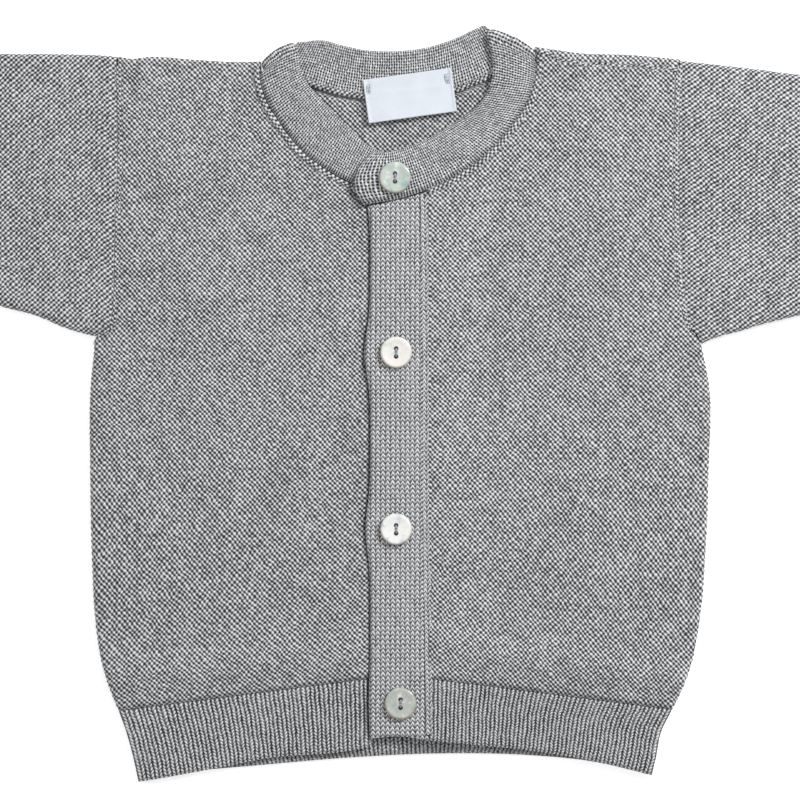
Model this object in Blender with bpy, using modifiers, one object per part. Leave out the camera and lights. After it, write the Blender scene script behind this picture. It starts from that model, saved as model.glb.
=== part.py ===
"""Baby cardigan in fine marl knit, lying flat on its back with its four buttons done up.

Frame: metres, +X to the wearer's left, +Y towards the neck, +Z up from the surface it lies on. The
wearer's right side is at -X. Tables and sizes below are in millimetres, and the mesh helpers turn
them into metres. Every panel is an open surface thickened by Solidify. Neighbours keep GAP between
them: beside each other at the seams, and above each other where one layer lies on the next.
"""

import math

import bmesh
import bpy
import numpy as np
from mathutils import Matrix, Vector

MM = 0.001

# Cloth and how it stacks
GAP = 0.3
CLOTH = 2.0
BAND_CLOTH = 2.2
NECKBAND_CLOTH = 2.6
LABEL_CLOTH = 1.0
LAYER = CLOTH + GAP
SEAM_GAP = 0.5

# Body outline, from the shoulders down to the hem: height, wearer's right edge, wearer's left edge.
# The armholes are the rows above 24 mm, and the body blouses out over the drawn-in rib below -100.
BODY_EDGES = (
    # y, right_x, left_x
    (127.0, -103.3, 102.2),
    (92.0, -102.7, 100.8),
    (63.0, -103.7, 101.4),
    (38.0, -104.4, 103.3),
    (30.5, -105.1, 105.0),
    (27.0, -106.2, 106.6),
    (25.4, -109.3, 108.3),
    (23.8, -111.3, 109.6),
    (8.0, -112.8, 112.6),
    (-26.0, -112.8, 112.2),
    (-54.0, -112.2, 111.3),
    (-82.0, -110.6, 108.5),
    (-93.0, -108.9, 106.6),
    (-103.0, -106.1, 103.2),
    (-111.3, -101.8, 99.0),
    (-119.6, -98.6, 94.9),
    (-129.0, -96.7, 93.0),
    (-137.6, -95.3, 91.0),
)
EDGE_Y, EDGE_RIGHT, EDGE_LEFT = (np.array(column[::-1]) for column in zip(*BODY_EDGES))

# Rows of the body panels: height at the side edge and at the front edge or centre back.
BODY_ROWS = (
    # side_y, centre_y
    (-111.0, -98.0),
    (-103.0, -94.0),
    (-94.0, -88.0),
    (-82.0, -78.0),
    (-62.0, -60.0),
    (-35.0, -35.0),
    (-8.0, -8.0),
    (8.0, 11.0),
    (23.8, 27.0),
    (25.4, 32.0),
    (27.0, 37.0),
    (30.5, 43.0),
    (38.0, 50.0),
    (50.0, 58.0),
    (63.0, 67.0),
)
BACK_UPPER_ROWS = ((80.0, 80.0), (100.0, 96.0), (114.0, 106.0))
PANEL_COLUMNS = 9
SHOULDER_COLUMNS = 4

# Hem welts: height of each front's hem at the side and at the placket, and how far it bows up
FRONT_HEM = {"right": (-137.6, -124.8), "left": (-135.3, -122.4)}
HEM_BOW = 1.8
RIB_ROWS = 4
BACK_HEM = (
    # x, y
    (-95.3, -137.6),
    (-76.3, -134.0),
    (-52.9, -131.8),
    (-15.7, -128.7),
    (14.0, -127.4),
    (46.6, -128.0),
    (69.7, -130.3),
    (91.2, -135.6),
)
BACK_HEM_X, BACK_HEM_Y = zip(*BACK_HEM)

# Blousing of the fronts above the welt
BLOUSE_LIFT = 1.3
BLOUSE_ABOVE_RIB = 10.0
BLOUSE_REACH = 6.0

# Placket: the left front's band lies on the right front's band.
UNDER_BAND_EDGES = (-9.5, 9.2)
UNDER_BAND_ENDS = (-121.0, 73.4)
TOP_BAND_LEFT_X = -10.4
TOP_BAND_SEAM = (
    # y, x of the seam with the left front
    (-122.6, 10.6),
    (-86.0, 10.0),
    (-41.0, 9.3),
    (45.0, 9.0),
    (80.0, 8.4),
)
SEAM_Y, SEAM_X = zip(*TOP_BAND_SEAM)
TOP_BAND_BOTTOM_Y = -121.6
BAND_COLUMNS = 4
BAND_ROWS = 24
PLACKET_RISE_FROM = 36.0
PLACKET_RISE_TO = 12.0

# Buttons, the length and turn of each buttonhole, and how far the band's edge bulges beside it
BUTTONS = (
    # name, x, y, buttonhole_turn, edge_bulge
    ("button_1", -1.8, 82.5, 21.0, 2.6),
    ("button_2", -1.4, 18.8, 90.0, 2.1),
    ("button_3", -1.4, -45.6, 90.0, 1.7),
    ("button_4", 0.2, -109.1, 90.0, 0.5),
)
BULGE_REACH = 11.0
BUTTONHOLE_LENGTH = 12.6
BUTTONHOLE_WIDTH = 0.6
BUTTON_PROFILE = (
    # radius, height
    (0.0, 1.45),
    (3.1, 1.5),
    (4.3, 1.95),
    (5.1, 2.1),
    (5.65, 1.75),
    (5.8, 1.2),
    (5.3, 0.35),
    (4.5, 0.0),
    (0.0, 0.0),
)
BUTTON_STEPS = 28
THREAD_HOLE_RADIUS = 0.85
THREAD_HOLE_OFFSET = 1.45
THREAD_HOLE_SIDES = 12
THREAD_HOLE_DRILL = 8.0
MERGE_DISTANCE = 0.00001

# Neckband stations, along the strip from the hidden end at the centre front, round the wearer's right
# shoulder, the back and the left shoulder, to the top end at the centre front. The seam is the edge
# sewn to the body, the rim is the band's free folded edge, and height is that of the strip's middle.
RIGHT_NECK = (
    # seam_x, seam_y, rim_x, rim_y, height
    (8.5, 78.0, 6.5, 93.2, 3.6),
    (-4.0, 75.8, -1.5, 91.6, 3.6),
    (-17.5, 80.8, -10.8, 94.0, 3.6),
    (-25.5, 85.0, -17.5, 99.4, 3.6),
    (-31.6, 89.1, -22.0, 103.6, 3.6),
    (-37.6, 94.7, -26.2, 108.4, 3.6),
    (-42.4, 101.1, -30.2, 112.8, 3.7),
    (-46.9, 107.7, -33.6, 117.0, 3.9),
    (-50.0, 114.6, -36.4, 122.2, 4.2),
    (-51.0, 120.4, -37.0, 127.4, 4.2),
)
RIGHT_FOLD = (-50.2, 123.2, -36.4, 130.2)
BACK_NECK = (
    # seam_x, seam_y, rim_x, rim_y, height
    (-47.2, 121.4, -34.4, 130.4, 1.3),
    (-41.0, 120.0, -31.6, 132.4, 1.3),
    (-34.7, 117.8, -28.0, 132.6, 1.3),
    (-24.8, 114.5, -21.0, 131.2, 1.3),
    (-13.3, 112.4, -12.0, 129.4, 1.3),
    (0.0, 112.2, 0.0, 129.2, 1.3),
    (11.0, 113.0, 9.6, 130.4, 1.3),
    (20.4, 114.8, 17.6, 132.8, 1.3),
    (28.5, 117.8, 23.0, 134.6, 1.3),
    (36.5, 122.0, 27.0, 136.0, 1.3),
    (43.5, 125.0, 29.4, 135.6, 1.3),
)
LEFT_FOLD = (49.4, 127.2, 30.8, 135.2)
LEFT_NECK = (
    # seam_x, seam_y, rim_x, rim_y, height
    (49.4, 124.6, 32.4, 131.4, 4.2),
    (49.2, 120.0, 33.8, 125.0, 4.2),
    (48.2, 115.2, 33.2, 117.6, 4.0),
    (46.2, 110.0, 31.0, 112.4, 3.8),
    (42.9, 104.6, 27.4, 108.4, 3.6),
    (38.4, 98.8, 23.4, 105.2, 3.6),
    (33.4, 93.2, 19.2, 102.4, 3.7),
    (27.0, 87.8, 14.4, 99.4, 4.1),
    (18.4, 82.2, 9.0, 96.4, 5.2),
    (9.0, 77.9, 3.0, 93.8, 6.5),
    (-2.0, 74.6, -3.6, 92.0, 6.5),
    (-13.4, 72.6, -9.8, 92.0, 6.5),
)
FRONT_NECK_MIN_Y = 79.0
ROW_BELOW_NECK = 5.0
NECK_CROSS_PARTS = 4
FOLD_RADIUS = 1.45
FOLD_PARTS = 4
TOP_END_BULGE = 5.2

# Shoulder lines, from the armhole to the neck, and the back's corners just under the neckband's folds
SHOULDERS = {"right": ((-103.3, 126.8), (-52.4, 124.6)), "left": ((102.2, 125.6), (51.6, 129.8))}
BACK_NECK_CORNERS = ((-51.8, 120.6), (51.0, 124.2))

# Sleeves and cuffs, pressed flat: distance from the body's middle, top edge, lower edge
TUBE_HEIGHT = 2 * CLOTH + GAP
TUBE_WALL = 1.9
TUBE_TURN_PARTS = 4
ARMHOLE_HEIGHTS = (110.0, 92.0, 77.5, 63.0, 50.0, 38.0, 30.5)
ARMHOLE_FADE = 26.0
RIGHT_SLEEVE = (
    # x, top_y, lower_y
    (-111.6, 127.0, 24.9),
    (-122.0, 127.4, 28.0),
    (-133.0, 127.7, 32.2),
    (-146.0, 127.8, 35.8),
    (-165.0, 127.6, 42.6),
    (-186.0, 127.0, 48.4),
    (-208.0, 126.0, 54.6),
    (-237.6, 123.6, 60.6),
)
LEFT_SLEEVE = (
    # x, top_y, lower_y
    (109.9, 124.6, 23.0),
    (122.0, 123.5, 26.2),
    (133.0, 122.2, 29.4),
    (146.0, 120.5, 32.5),
    (165.0, 118.3, 37.0),
    (186.0, 116.2, 41.0),
    (208.0, 113.6, 45.4),
    (237.6, 110.4, 49.2),
)
CUFF_LENGTH = 28.0
CUFF_ROWS = 3
CUFF_DRAW_IN = 1.6
CUFF_TAPER = 3.0

# Neck label, sewn over the back's neck seam, and how far its loose lower edge lifts
LABEL_CENTRE = (3.6, 112.7)
LABEL_SIZE = (32.5, 16.1)
LABEL_TURN = 7.9
LABEL_LIFT = 0.7
LABEL_COLUMNS = 6
LABEL_ROWS = 3


def smoothstep(value):
    value = min(max(value, 0.0), 1.0)
    return value * value * (3.0 - 2.0 * value)


def lerp(a, b, t):
    return tuple(p + (q - p) * t for p, q in zip(a, b))


# ---------------------------------------------------------------- scene, materials, mesh helpers


def clear_scene():
    for item in list(bpy.data.objects):
        bpy.data.objects.remove(item, do_unlink=True)


def new_collection(name):
    collection = bpy.data.collections.new(name)
    bpy.context.scene.collection.children.link(collection)
    return collection


def material(name, colour, roughness):
    result = bpy.data.materials.new(name)
    result.use_nodes = True
    shader = result.node_tree.nodes["Principled BSDF"]
    shader.inputs["Base Color"].default_value = (*colour, 1.0)
    shader.inputs["Roughness"].default_value = roughness
    return result


def add_object(name, mesh, finish):
    item = bpy.data.objects.new(name, mesh)
    item.data.materials.append(finish)
    GARMENT.objects.link(item)
    return item


def thicken(item, thickness, offset):
    solidify = item.modifiers.new("cloth", "SOLIDIFY")
    solidify.thickness = thickness * MM
    solidify.offset = offset


def cloth_grid(name, columns, rows, place, finish, thickness, offset=1.0):
    """A panel: a grid whose corner (column, row) goes where place says, thickened into cloth."""
    grid = bmesh.new()
    bmesh.ops.create_grid(grid, x_segments=columns, y_segments=rows, size=1.0)
    for vertex in grid.verts:
        column = round((vertex.co.x + 1.0) / 2.0 * columns)
        row = round((vertex.co.y + 1.0) / 2.0 * rows)
        vertex.co = Vector(place(column, row)) * MM
    mesh = bpy.data.meshes.new(name)
    grid.to_mesh(mesh)
    grid.free()
    mesh.shade_smooth()
    item = add_object(name, mesh, finish)
    thicken(item, thickness, offset)
    return item


def cut(item, cutter):
    cutter.hide_render = True
    cutter.display_type = "WIRE"
    CUTTERS.objects.link(cutter)
    boolean = item.modifiers.new(cutter.name, "BOOLEAN")
    boolean.operation = "DIFFERENCE"
    boolean.solver = "EXACT"
    boolean.object = cutter


# ---------------------------------------------------------------- outline and height of the layers


def body_edge(y, side):
    return float(np.interp(y, EDGE_Y, EDGE_RIGHT if side == "right" else EDGE_LEFT))


def band_seam(y):
    return float(np.interp(y, SEAM_Y, SEAM_X))


def rib_line(x, side):
    """Height of the line where the welt meets a body panel."""
    side_y, centre_y = BODY_ROWS[0]
    share = min(abs(x / body_edge(side_y, side)), 1.0)
    return centre_y + (side_y - centre_y) * share


def front_height(x, y, side):
    """Underside of a front. The left front climbs onto the button band beside the placket."""
    above_rib = y - rib_line(x, side) - BLOUSE_ABOVE_RIB
    blouse = BLOUSE_LIFT * math.exp(-((above_rib / BLOUSE_REACH) ** 2))
    if side == "right":
        return LAYER + blouse * smoothstep((abs(x) - PLACKET_RISE_TO) / BLOUSE_REACH)
    climb = smoothstep((PLACKET_RISE_FROM - x) / (PLACKET_RISE_FROM - PLACKET_RISE_TO))
    return LAYER + LAYER * climb + blouse


def beside(station, distance):
    """A point past a neckband station's seam, on the body's side of it."""
    seam = np.array(station[:2])
    outward = seam - np.array(station[2:4])
    return tuple(seam + outward / np.linalg.norm(outward) * distance)


def neckline(side):
    """The front panel's edge along the neckband, from the placket up to the shoulder."""
    stations = RIGHT_NECK if side == "right" else LEFT_NECK[::-1]
    points = [beside(station, SEAM_GAP) for station in stations]
    return [point for point in points if point[1] > FRONT_NECK_MIN_Y]


# ---------------------------------------------------------------- body panels


def front_rows(side):
    """(edge at the side or armhole, edge at the placket or neck) for each row of a front."""
    if side == "right":
        placket_x = [UNDER_BAND_EDGES[0] - SEAM_GAP] * len(BODY_ROWS)
    else:
        placket_x = [band_seam(centre_y) + SEAM_GAP for _, centre_y in BODY_ROWS]
    rows = [
        ((body_edge(side_y, side), side_y), (x, centre_y))
        for (side_y, centre_y), x in zip(BODY_ROWS, placket_x)
    ]
    throat_y = min(point[1] for point in neckline(side)) - ROW_BELOW_NECK
    rows.append(((body_edge(throat_y, side), throat_y), (placket_x[-1], throat_y)))
    rows += [((body_edge(y, side), y), (x, y)) for x, y in neckline(side)]
    rows.append(SHOULDERS[side])
    return rows


def make_front(side, finish):
    rows = front_rows(side)
    mirrored = side == "left"

    def place(column, row):
        share = column / PANEL_COLUMNS
        outer, inner = rows[row]
        x, y = lerp(inner, outer, share) if mirrored else lerp(outer, inner, share)
        return x, y, front_height(x, y, side)

    cloth_grid(f"front_{side}", PANEL_COLUMNS, len(rows) - 1, place, finish, CLOTH)


def make_front_rib(side, finish):
    (_, top_side_y), (top_x, top_y) = front_rows(side)[0]
    hem_side_y, hem_y = FRONT_HEM[side]
    hem_x = UNDER_BAND_EDGES[0] - SEAM_GAP if side == "right" else band_seam(hem_y) + SEAM_GAP
    seam_top = (top_x, top_y - SEAM_GAP, top_side_y - SEAM_GAP)
    mirrored = side == "left"

    def place(column, row):
        share = column / PANEL_COLUMNS
        outward = share if mirrored else 1.0 - share
        down = 1.0 - row / RIB_ROWS
        inner_x, inner_y, side_y = lerp(seam_top, (hem_x, hem_y, hem_side_y), down)
        x, y = lerp((inner_x, inner_y), (body_edge(side_y, side), side_y), outward)
        y += HEM_BOW * down * math.sin(math.pi * outward)
        return x, y, front_height(x, y, side)

    cloth_grid(f"hem_front_{side}", PANEL_COLUMNS, RIB_ROWS, place, finish, CLOTH)


def back_top_edge():
    """Top edge of the back, one point a column: a shoulder, the dip along the neck seam, a shoulder."""
    right, left = SHOULDERS["right"], SHOULDERS["left"]
    shares = [part / SHOULDER_COLUMNS for part in range(SHOULDER_COLUMNS + 1)]
    seam = [beside(station, SEAM_GAP) for station in BACK_NECK]
    return [
        *(lerp(right[0], right[1], share) for share in shares),
        BACK_NECK_CORNERS[0],
        *seam,
        BACK_NECK_CORNERS[1],
        *(lerp(left[1], left[0], share) for share in shares),
    ]


def back_shares():
    """Where the back's columns lie between its two side edges."""
    xs = [x for x, _ in back_top_edge()]
    return [(x - xs[0]) / (xs[-1] - xs[0]) for x in xs]


def back_row_point(side_y, centre_y, share):
    right_x, left_x = body_edge(side_y, "right"), body_edge(side_y, "left")
    inward = 1.0 - (2.0 * share - 1.0) ** 2
    return right_x + (left_x - right_x) * share, side_y + (centre_y - side_y) * inward


def make_back(finish):
    top = back_top_edge()
    shares = back_shares()
    rows = [*BODY_ROWS, *BACK_UPPER_ROWS]

    def place(column, row):
        if row == len(rows):
            return (*top[column], 0.0)
        return (*back_row_point(*rows[row], shares[column]), 0.0)

    cloth_grid("back", len(shares) - 1, len(rows), place, finish, CLOTH)


def make_back_rib(finish):
    side_y, centre_y = BODY_ROWS[0]
    shares = back_shares()

    def place(column, row):
        down = 1.0 - row / RIB_ROWS
        edge_y = side_y - SEAM_GAP + (BACK_HEM_Y[0] - side_y + SEAM_GAP) * down
        x, _ = back_row_point(edge_y, edge_y, shares[column])
        _, top_y = back_row_point(side_y - SEAM_GAP, centre_y - SEAM_GAP, shares[column])
        hem_y = float(np.interp(x, BACK_HEM_X, BACK_HEM_Y))
        return x, top_y + (hem_y - top_y) * down, 0.0

    cloth_grid("hem_back", len(shares) - 1, RIB_ROWS, place, finish, CLOTH)


# ---------------------------------------------------------------- placket bands


def band_free_edge(y):
    """The top band's free edge, which bulges out beside each buttonhole."""
    bulge = sum(b * math.exp(-(((y - button_y) / BULGE_REACH) ** 2)) for _, _, button_y, _, b in BUTTONS)
    return TOP_BAND_LEFT_X - bulge


def neck_seam_y(x, stations):
    points = sorted(station[:2] for station in stations if station[1] < FRONT_NECK_MIN_Y)
    return float(np.interp(x, *zip(*points)))


def make_under_band(finish):
    low, high = UNDER_BAND_ENDS
    left, right = UNDER_BAND_EDGES

    def place(column, row):
        x = left + (right - left) * column / BAND_COLUMNS
        return x, low + (high - low) * row / BAND_ROWS, LAYER

    cloth_grid("band_under", BAND_COLUMNS, BAND_ROWS, place, finish, CLOTH)


def make_top_band(finish):
    def place(column, row):
        share = column / BAND_COLUMNS
        up = row / BAND_ROWS
        top_left = neck_seam_y(band_free_edge(neck_seam_y(TOP_BAND_LEFT_X, LEFT_NECK)), LEFT_NECK)
        top_y = top_left + (neck_seam_y(SEAM_X[-1], LEFT_NECK) - top_left) * share - 2 * SEAM_GAP
        y = TOP_BAND_BOTTOM_Y + (top_y - TOP_BAND_BOTTOM_Y) * up
        left, right = band_free_edge(y), band_seam(y)
        return left + (right - left) * share, y, 2 * LAYER

    band = cloth_grid("band_top", BAND_COLUMNS, BAND_ROWS, place, finish, BAND_CLOTH)
    for name, x, y, turn, _ in BUTTONS[1:]:
        cut(band, buttonhole_cutter(name, x, y, turn, 2 * LAYER))


def buttonhole_cutter(name, x, y, turn, height):
    slot = bmesh.new()
    bmesh.ops.create_cube(slot, size=MM)
    bmesh.ops.scale(slot, vec=(BUTTONHOLE_LENGTH, BUTTONHOLE_WIDTH, 4 * NECKBAND_CLOTH), verts=slot.verts)
    mesh = bpy.data.meshes.new(f"{name}_hole")
    slot.to_mesh(mesh)
    slot.free()
    cutter = bpy.data.objects.new(f"{name}_hole", mesh)
    cutter.matrix_world = Matrix.Translation(Vector((x, y, height)) * MM) @ Matrix.Rotation(
        math.radians(turn), 4, "Z"
    )
    return cutter


# ---------------------------------------------------------------- neckband


def fold_stations(fold, top_height):
    """Stations round the crease at a shoulder, where the strip turns from the front to the back."""
    seam, rim = np.array(fold[:2]), np.array(fold[2:4])
    along = rim - seam
    outward = np.array((-along[1], along[0]))
    outward *= math.copysign(1.0, outward[1]) / np.linalg.norm(outward)
    stations = []
    for part in range(FOLD_PARTS + 1):
        angle = math.pi * part / FOLD_PARTS
        shift = outward * FOLD_RADIUS * math.sin(angle)
        height = top_height - FOLD_RADIUS * (1.0 - math.cos(angle))
        stations.append((*(seam + shift), *(rim + shift), height))
    return stations


def smoothed(stations):
    """The same stations with one more between each two, on a smooth curve through them all."""
    points = np.array(stations)
    ends = np.vstack([2 * points[0] - points[1], points, 2 * points[-1] - points[-2]])
    between = (9 * (ends[1:-2] + ends[2:-1]) - (ends[:-3] + ends[3:])) / 16
    result = [tuple(points[0])]
    for middle, following in zip(between, points[1:]):
        result += [tuple(middle), tuple(following)]
    return result


def neckband_stations():
    top_height = RIGHT_NECK[-1][4]
    return [
        *smoothed(RIGHT_NECK),
        *fold_stations(RIGHT_FOLD, top_height),
        *smoothed(BACK_NECK),
        *fold_stations(LEFT_FOLD, top_height)[::-1],
        *smoothed(LEFT_NECK),
    ]


def make_neckband(finish):
    stations = neckband_stations()
    last = len(stations) - 1

    def place(column, row):
        seam_x, seam_y, rim_x, rim_y, height = stations[column]
        across = row / NECK_CROSS_PARTS
        x, y = lerp((seam_x, seam_y), (rim_x, rim_y), across)
        if column == last:
            x -= TOP_END_BULGE * math.sin(math.pi * across) ** 0.8
        return x, y, height

    band = cloth_grid("neckband", last, NECK_CROSS_PARTS, place, finish, NECKBAND_CLOTH, 0.0)
    name, x, y, turn, _ = BUTTONS[0]
    cut(band, buttonhole_cutter(name, x, y, turn, LEFT_NECK[-1][4]))


# ---------------------------------------------------------------- sleeves and cuffs


def pressed_ring(width, shares):
    """Points round a tube pressed flat, as (distance down from its top edge, height)."""
    radius = TUBE_HEIGHT / 2.0
    flat = [radius + (width - 2.0 * radius) * share for share in shares]
    turns = [math.pi * part / TUBE_TURN_PARTS for part in range(1, TUBE_TURN_PARTS)]
    lower = [(width - radius + radius * math.sin(a), radius + radius * math.cos(a)) for a in turns]
    upper = [(radius - radius * math.sin(a), radius - radius * math.cos(a)) for a in turns]
    over = [(down, TUBE_HEIGHT) for down in flat]
    under = [(down, 0.0) for down in reversed(flat)]
    return over + lower + under + upper


def pressed_tube(name, stations, finish, side=None):
    """A tube through stations of (x, top_y, lower_y). With a side, its first end follows the armhole."""
    rings = []
    high, low = stations[0][1] - TUBE_HEIGHT / 2.0, stations[0][2] + TUBE_HEIGHT / 2.0
    shares = [0.0, *((high - y) / (high - low) for y in ARMHOLE_HEIGHTS if low < y < high), 1.0]
    for x, top_y, lower_y in stations:
        fade = max(0.0, 1.0 - abs(x - stations[0][0]) / ARMHOLE_FADE) if side else 0.0
        ring = []
        for down, height in pressed_ring(top_y - lower_y, shares):
            y = top_y - down
            shift = 0.0
            if side:
                armhole = body_edge(y, side) + math.copysign(SEAM_GAP, x)
                shift = (armhole - stations[0][0]) * fade
            ring.append(Vector((x + shift, y, height)) * MM)
        rings.append(ring)
    tube = bmesh.new()
    loops = [[tube.verts.new(point) for point in ring] for ring in rings]
    count = len(loops[0])
    for near, far in zip(loops, loops[1:]):
        for k in range(count):
            following = (k + 1) % count
            tube.faces.new((near[k], near[following], far[following], far[k]))
    bmesh.ops.recalc_face_normals(tube, faces=tube.faces)
    mesh = bpy.data.meshes.new(name)
    tube.to_mesh(mesh)
    tube.free()
    mesh.shade_smooth()
    thicken(add_object(name, mesh, finish), TUBE_WALL, -1.0)


def cuff_stations(sleeve):
    """The cuff carries on along the sleeve, drawn in a little where the rib starts."""
    x, top_y, lower_y = sleeve[-1]
    before_x, before_top, before_lower = sleeve[-2]
    outward = math.copysign(1.0, x)
    axis_slope = ((top_y + lower_y) - (before_top + before_lower)) / 2.0 / (x - before_x)
    stations = []
    for row in range(CUFF_ROWS + 1):
        along = SEAM_GAP + (CUFF_LENGTH - SEAM_GAP) * row / CUFF_ROWS
        middle = (top_y + lower_y) / 2.0 + axis_slope * along * outward
        half = (top_y - lower_y) / 2.0 - CUFF_DRAW_IN - CUFF_TAPER / 2.0 * row / CUFF_ROWS
        stations.append((x + outward * along, middle + half, middle - half))
    return stations


# ---------------------------------------------------------------- label and buttons


def make_label(finish):
    turn = math.radians(LABEL_TURN)
    width, height = LABEL_SIZE
    rest = NECKBAND_CLOTH + GAP

    def place(column, row):
        across = width * (column / LABEL_COLUMNS - 0.5)
        up = height * (row / LABEL_ROWS - 0.5)
        x = LABEL_CENTRE[0] + across * math.cos(turn) - up * math.sin(turn)
        y = LABEL_CENTRE[1] + across * math.sin(turn) + up * math.cos(turn)
        loose = (1.0 - row / LABEL_ROWS) ** 2
        lift = LABEL_LIFT * loose * math.sin(math.pi * column / LABEL_COLUMNS)
        return x, y, rest + lift

    cloth_grid("label", LABEL_COLUMNS, LABEL_ROWS, place, finish, LABEL_CLOTH)


def thread_hole(name, location):
    drill = bmesh.new()
    bmesh.ops.create_cone(
        drill,
        cap_ends=True,
        segments=THREAD_HOLE_SIDES,
        radius1=THREAD_HOLE_RADIUS * MM,
        radius2=THREAD_HOLE_RADIUS * MM,
        depth=THREAD_HOLE_DRILL * MM,
    )
    mesh = bpy.data.meshes.new(name)
    drill.to_mesh(mesh)
    drill.free()
    cutter = bpy.data.objects.new(name, mesh)
    cutter.location = location
    return cutter


def make_button(name, x, y, underside, finish):
    """A turned disc with a dished face and two thread holes, one above the other."""
    profile = bpy.data.meshes.new(name)
    points = [(radius * MM, 0.0, height * MM) for radius, height in BUTTON_PROFILE]
    profile.from_pydata(points, [(k, k + 1) for k in range(len(points) - 1)], [])
    button = add_object(name, profile, finish)
    button.location = Vector((x, y, underside)) * MM
    screw = button.modifiers.new("turned", "SCREW")
    screw.axis = "Z"
    screw.steps = BUTTON_STEPS
    screw.render_steps = BUTTON_STEPS
    screw.use_merge_vertices = True
    screw.merge_threshold = MERGE_DISTANCE
    screw.use_smooth_shade = True
    for number, offset in enumerate((-THREAD_HOLE_OFFSET, THREAD_HOLE_OFFSET)):
        location = button.location + Vector((0.0, offset * MM, 0.0))
        cut(button, thread_hole(f"{name}_thread_{number + 1}", location))


# ---------------------------------------------------------------- the cardigan

clear_scene()
GARMENT = new_collection("baby_cardigan")
CUTTERS = new_collection("cutters")

GARTER = material("garter_knit", (0.300, 0.305, 0.318), 0.92)
RIB = material("rib_knit", (0.265, 0.270, 0.280), 0.92)
BAND = material("band_knit", (0.335, 0.338, 0.350), 0.90)
NECK = material("neck_knit", (0.280, 0.284, 0.295), 0.90)
SATIN = material("label_satin", (0.760, 0.820, 0.880), 0.45)
PEARL = material("mother_of_pearl", (0.760, 0.780, 0.740), 0.22)

make_back(GARTER)
make_back_rib(RIB)
for front_side in ("right", "left"):
    make_front(front_side, GARTER)
    make_front_rib(front_side, RIB)
for sleeve_side, sleeve_stations in (("right", RIGHT_SLEEVE), ("left", LEFT_SLEEVE)):
    pressed_tube(f"sleeve_{sleeve_side}", sleeve_stations, GARTER, sleeve_side)
    pressed_tube(f"cuff_{sleeve_side}", cuff_stations(sleeve_stations), RIB)
make_under_band(BAND)
make_top_band(BAND)
make_neckband(NECK)
make_label(SATIN)
for button_name, button_x, button_y, _, _ in BUTTONS:
    if button_name == BUTTONS[0][0]:
        seat = LEFT_NECK[-1][4] + NECKBAND_CLOTH / 2.0
    else:
        seat = 2 * LAYER + BAND_CLOTH
    make_button(button_name, button_x, button_y, seat + GAP, PEARL)
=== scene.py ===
"""Looks of the baby cardigan: fine marl knit lying flat with its buttons done up.

Tables are in millimetres in the CAD frame: +X to the wearer's left, +Y towards the neck, +Z up from
the floor. Each CAD cloth solid is replaced by a thin closed shell of the same form whose outer face
carries the knit as real relief. A UV map called Stitch counts stitches, and the materials read it.
"""

import math

import bmesh
import bpy
import numpy as np
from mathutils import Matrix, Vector, kdtree
from mathutils.geometry import delaunay_2d_cdt


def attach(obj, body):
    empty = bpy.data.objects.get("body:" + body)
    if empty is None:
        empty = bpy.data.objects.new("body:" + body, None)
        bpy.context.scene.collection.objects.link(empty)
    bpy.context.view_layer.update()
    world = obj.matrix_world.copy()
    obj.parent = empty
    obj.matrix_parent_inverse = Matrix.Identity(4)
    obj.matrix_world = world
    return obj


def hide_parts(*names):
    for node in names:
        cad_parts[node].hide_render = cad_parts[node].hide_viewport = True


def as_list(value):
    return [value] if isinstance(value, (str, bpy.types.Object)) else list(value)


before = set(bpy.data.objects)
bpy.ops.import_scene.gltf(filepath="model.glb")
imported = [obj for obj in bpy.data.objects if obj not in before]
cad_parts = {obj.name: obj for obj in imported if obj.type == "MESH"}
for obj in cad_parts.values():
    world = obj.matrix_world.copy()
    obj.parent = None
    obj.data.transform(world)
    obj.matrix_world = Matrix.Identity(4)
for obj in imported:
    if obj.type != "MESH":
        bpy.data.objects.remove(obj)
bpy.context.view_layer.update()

MM = 0.001

# ---------------------------------------------------------------- sizes

CLOTH = 2.0
LAYER = 2.3
STITCH = 1.83
HALF = STITCH / 2.0
SIGNS = {"right": -1.0, "left": 1.0}
WALE = 1.80
NECKBAND_HALF = 1.3

BODY_EDGES = (
    # y, right_x, left_x
    (131.0, -103.3, 102.4), (127.0, -103.3, 102.2), (92.0, -102.7, 100.8), (63.0, -103.7, 101.4),
    (38.0, -104.4, 103.3), (30.5, -105.1, 105.0), (27.0, -106.4, 106.6), (25.4, -109.3, 108.3),
    (23.8, -111.0, 109.0), (20.0, -111.3, 110.0), (8.0, -112.5, 112.4), (-26.0, -112.8, 112.3),
    (-54.0, -112.2, 111.3), (-82.0, -110.6, 108.7), (-93.0, -108.9, 106.6), (-103.0, -106.0, 103.2),
    (-111.3, -102.8, 99.3), (-119.6, -99.8, 95.2), (-129.0, -97.2, 93.3), (-137.8, -95.3, 91.2),
)

# Front necklines: where each front meets the neckband
RIGHT_NECKLINE = (
    # y, x
    (60.0, -10.0), (78.0, -10.0), (80.8, -17.5), (85.0, -25.5), (89.1, -31.6), (94.7, -37.6), (101.1, -42.4),
    (107.7, -46.9), (114.6, -50.0), (120.4, -51.0), (131.0, -51.4),
)
LEFT_NECKLINE = (
    # y, x
    (60.0, 8.8), (77.4, 8.4), (82.2, 18.4), (87.8, 27.0), (93.2, 33.4), (98.8, 38.4), (104.6, 42.9),
    (110.0, 46.2), (115.2, 48.2), (120.0, 49.2), (131.0, 49.6),
)
SHOULDERS = {
    # x, y along the top fold
    "right": (
        (-113.0, 127.4), (-103.3, 126.6), (-98.6, 125.8), (-91.3, 126.5), (-75.0, 125.4), (-58.4, 124.6),
        (-51.0, 124.8),
    ),
    "left": (
        (49.0, 130.2), (56.0, 129.2), (65.2, 127.9), (83.8, 127.2), (97.8, 126.0), (112.0, 124.6),
    ),
}
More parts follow.
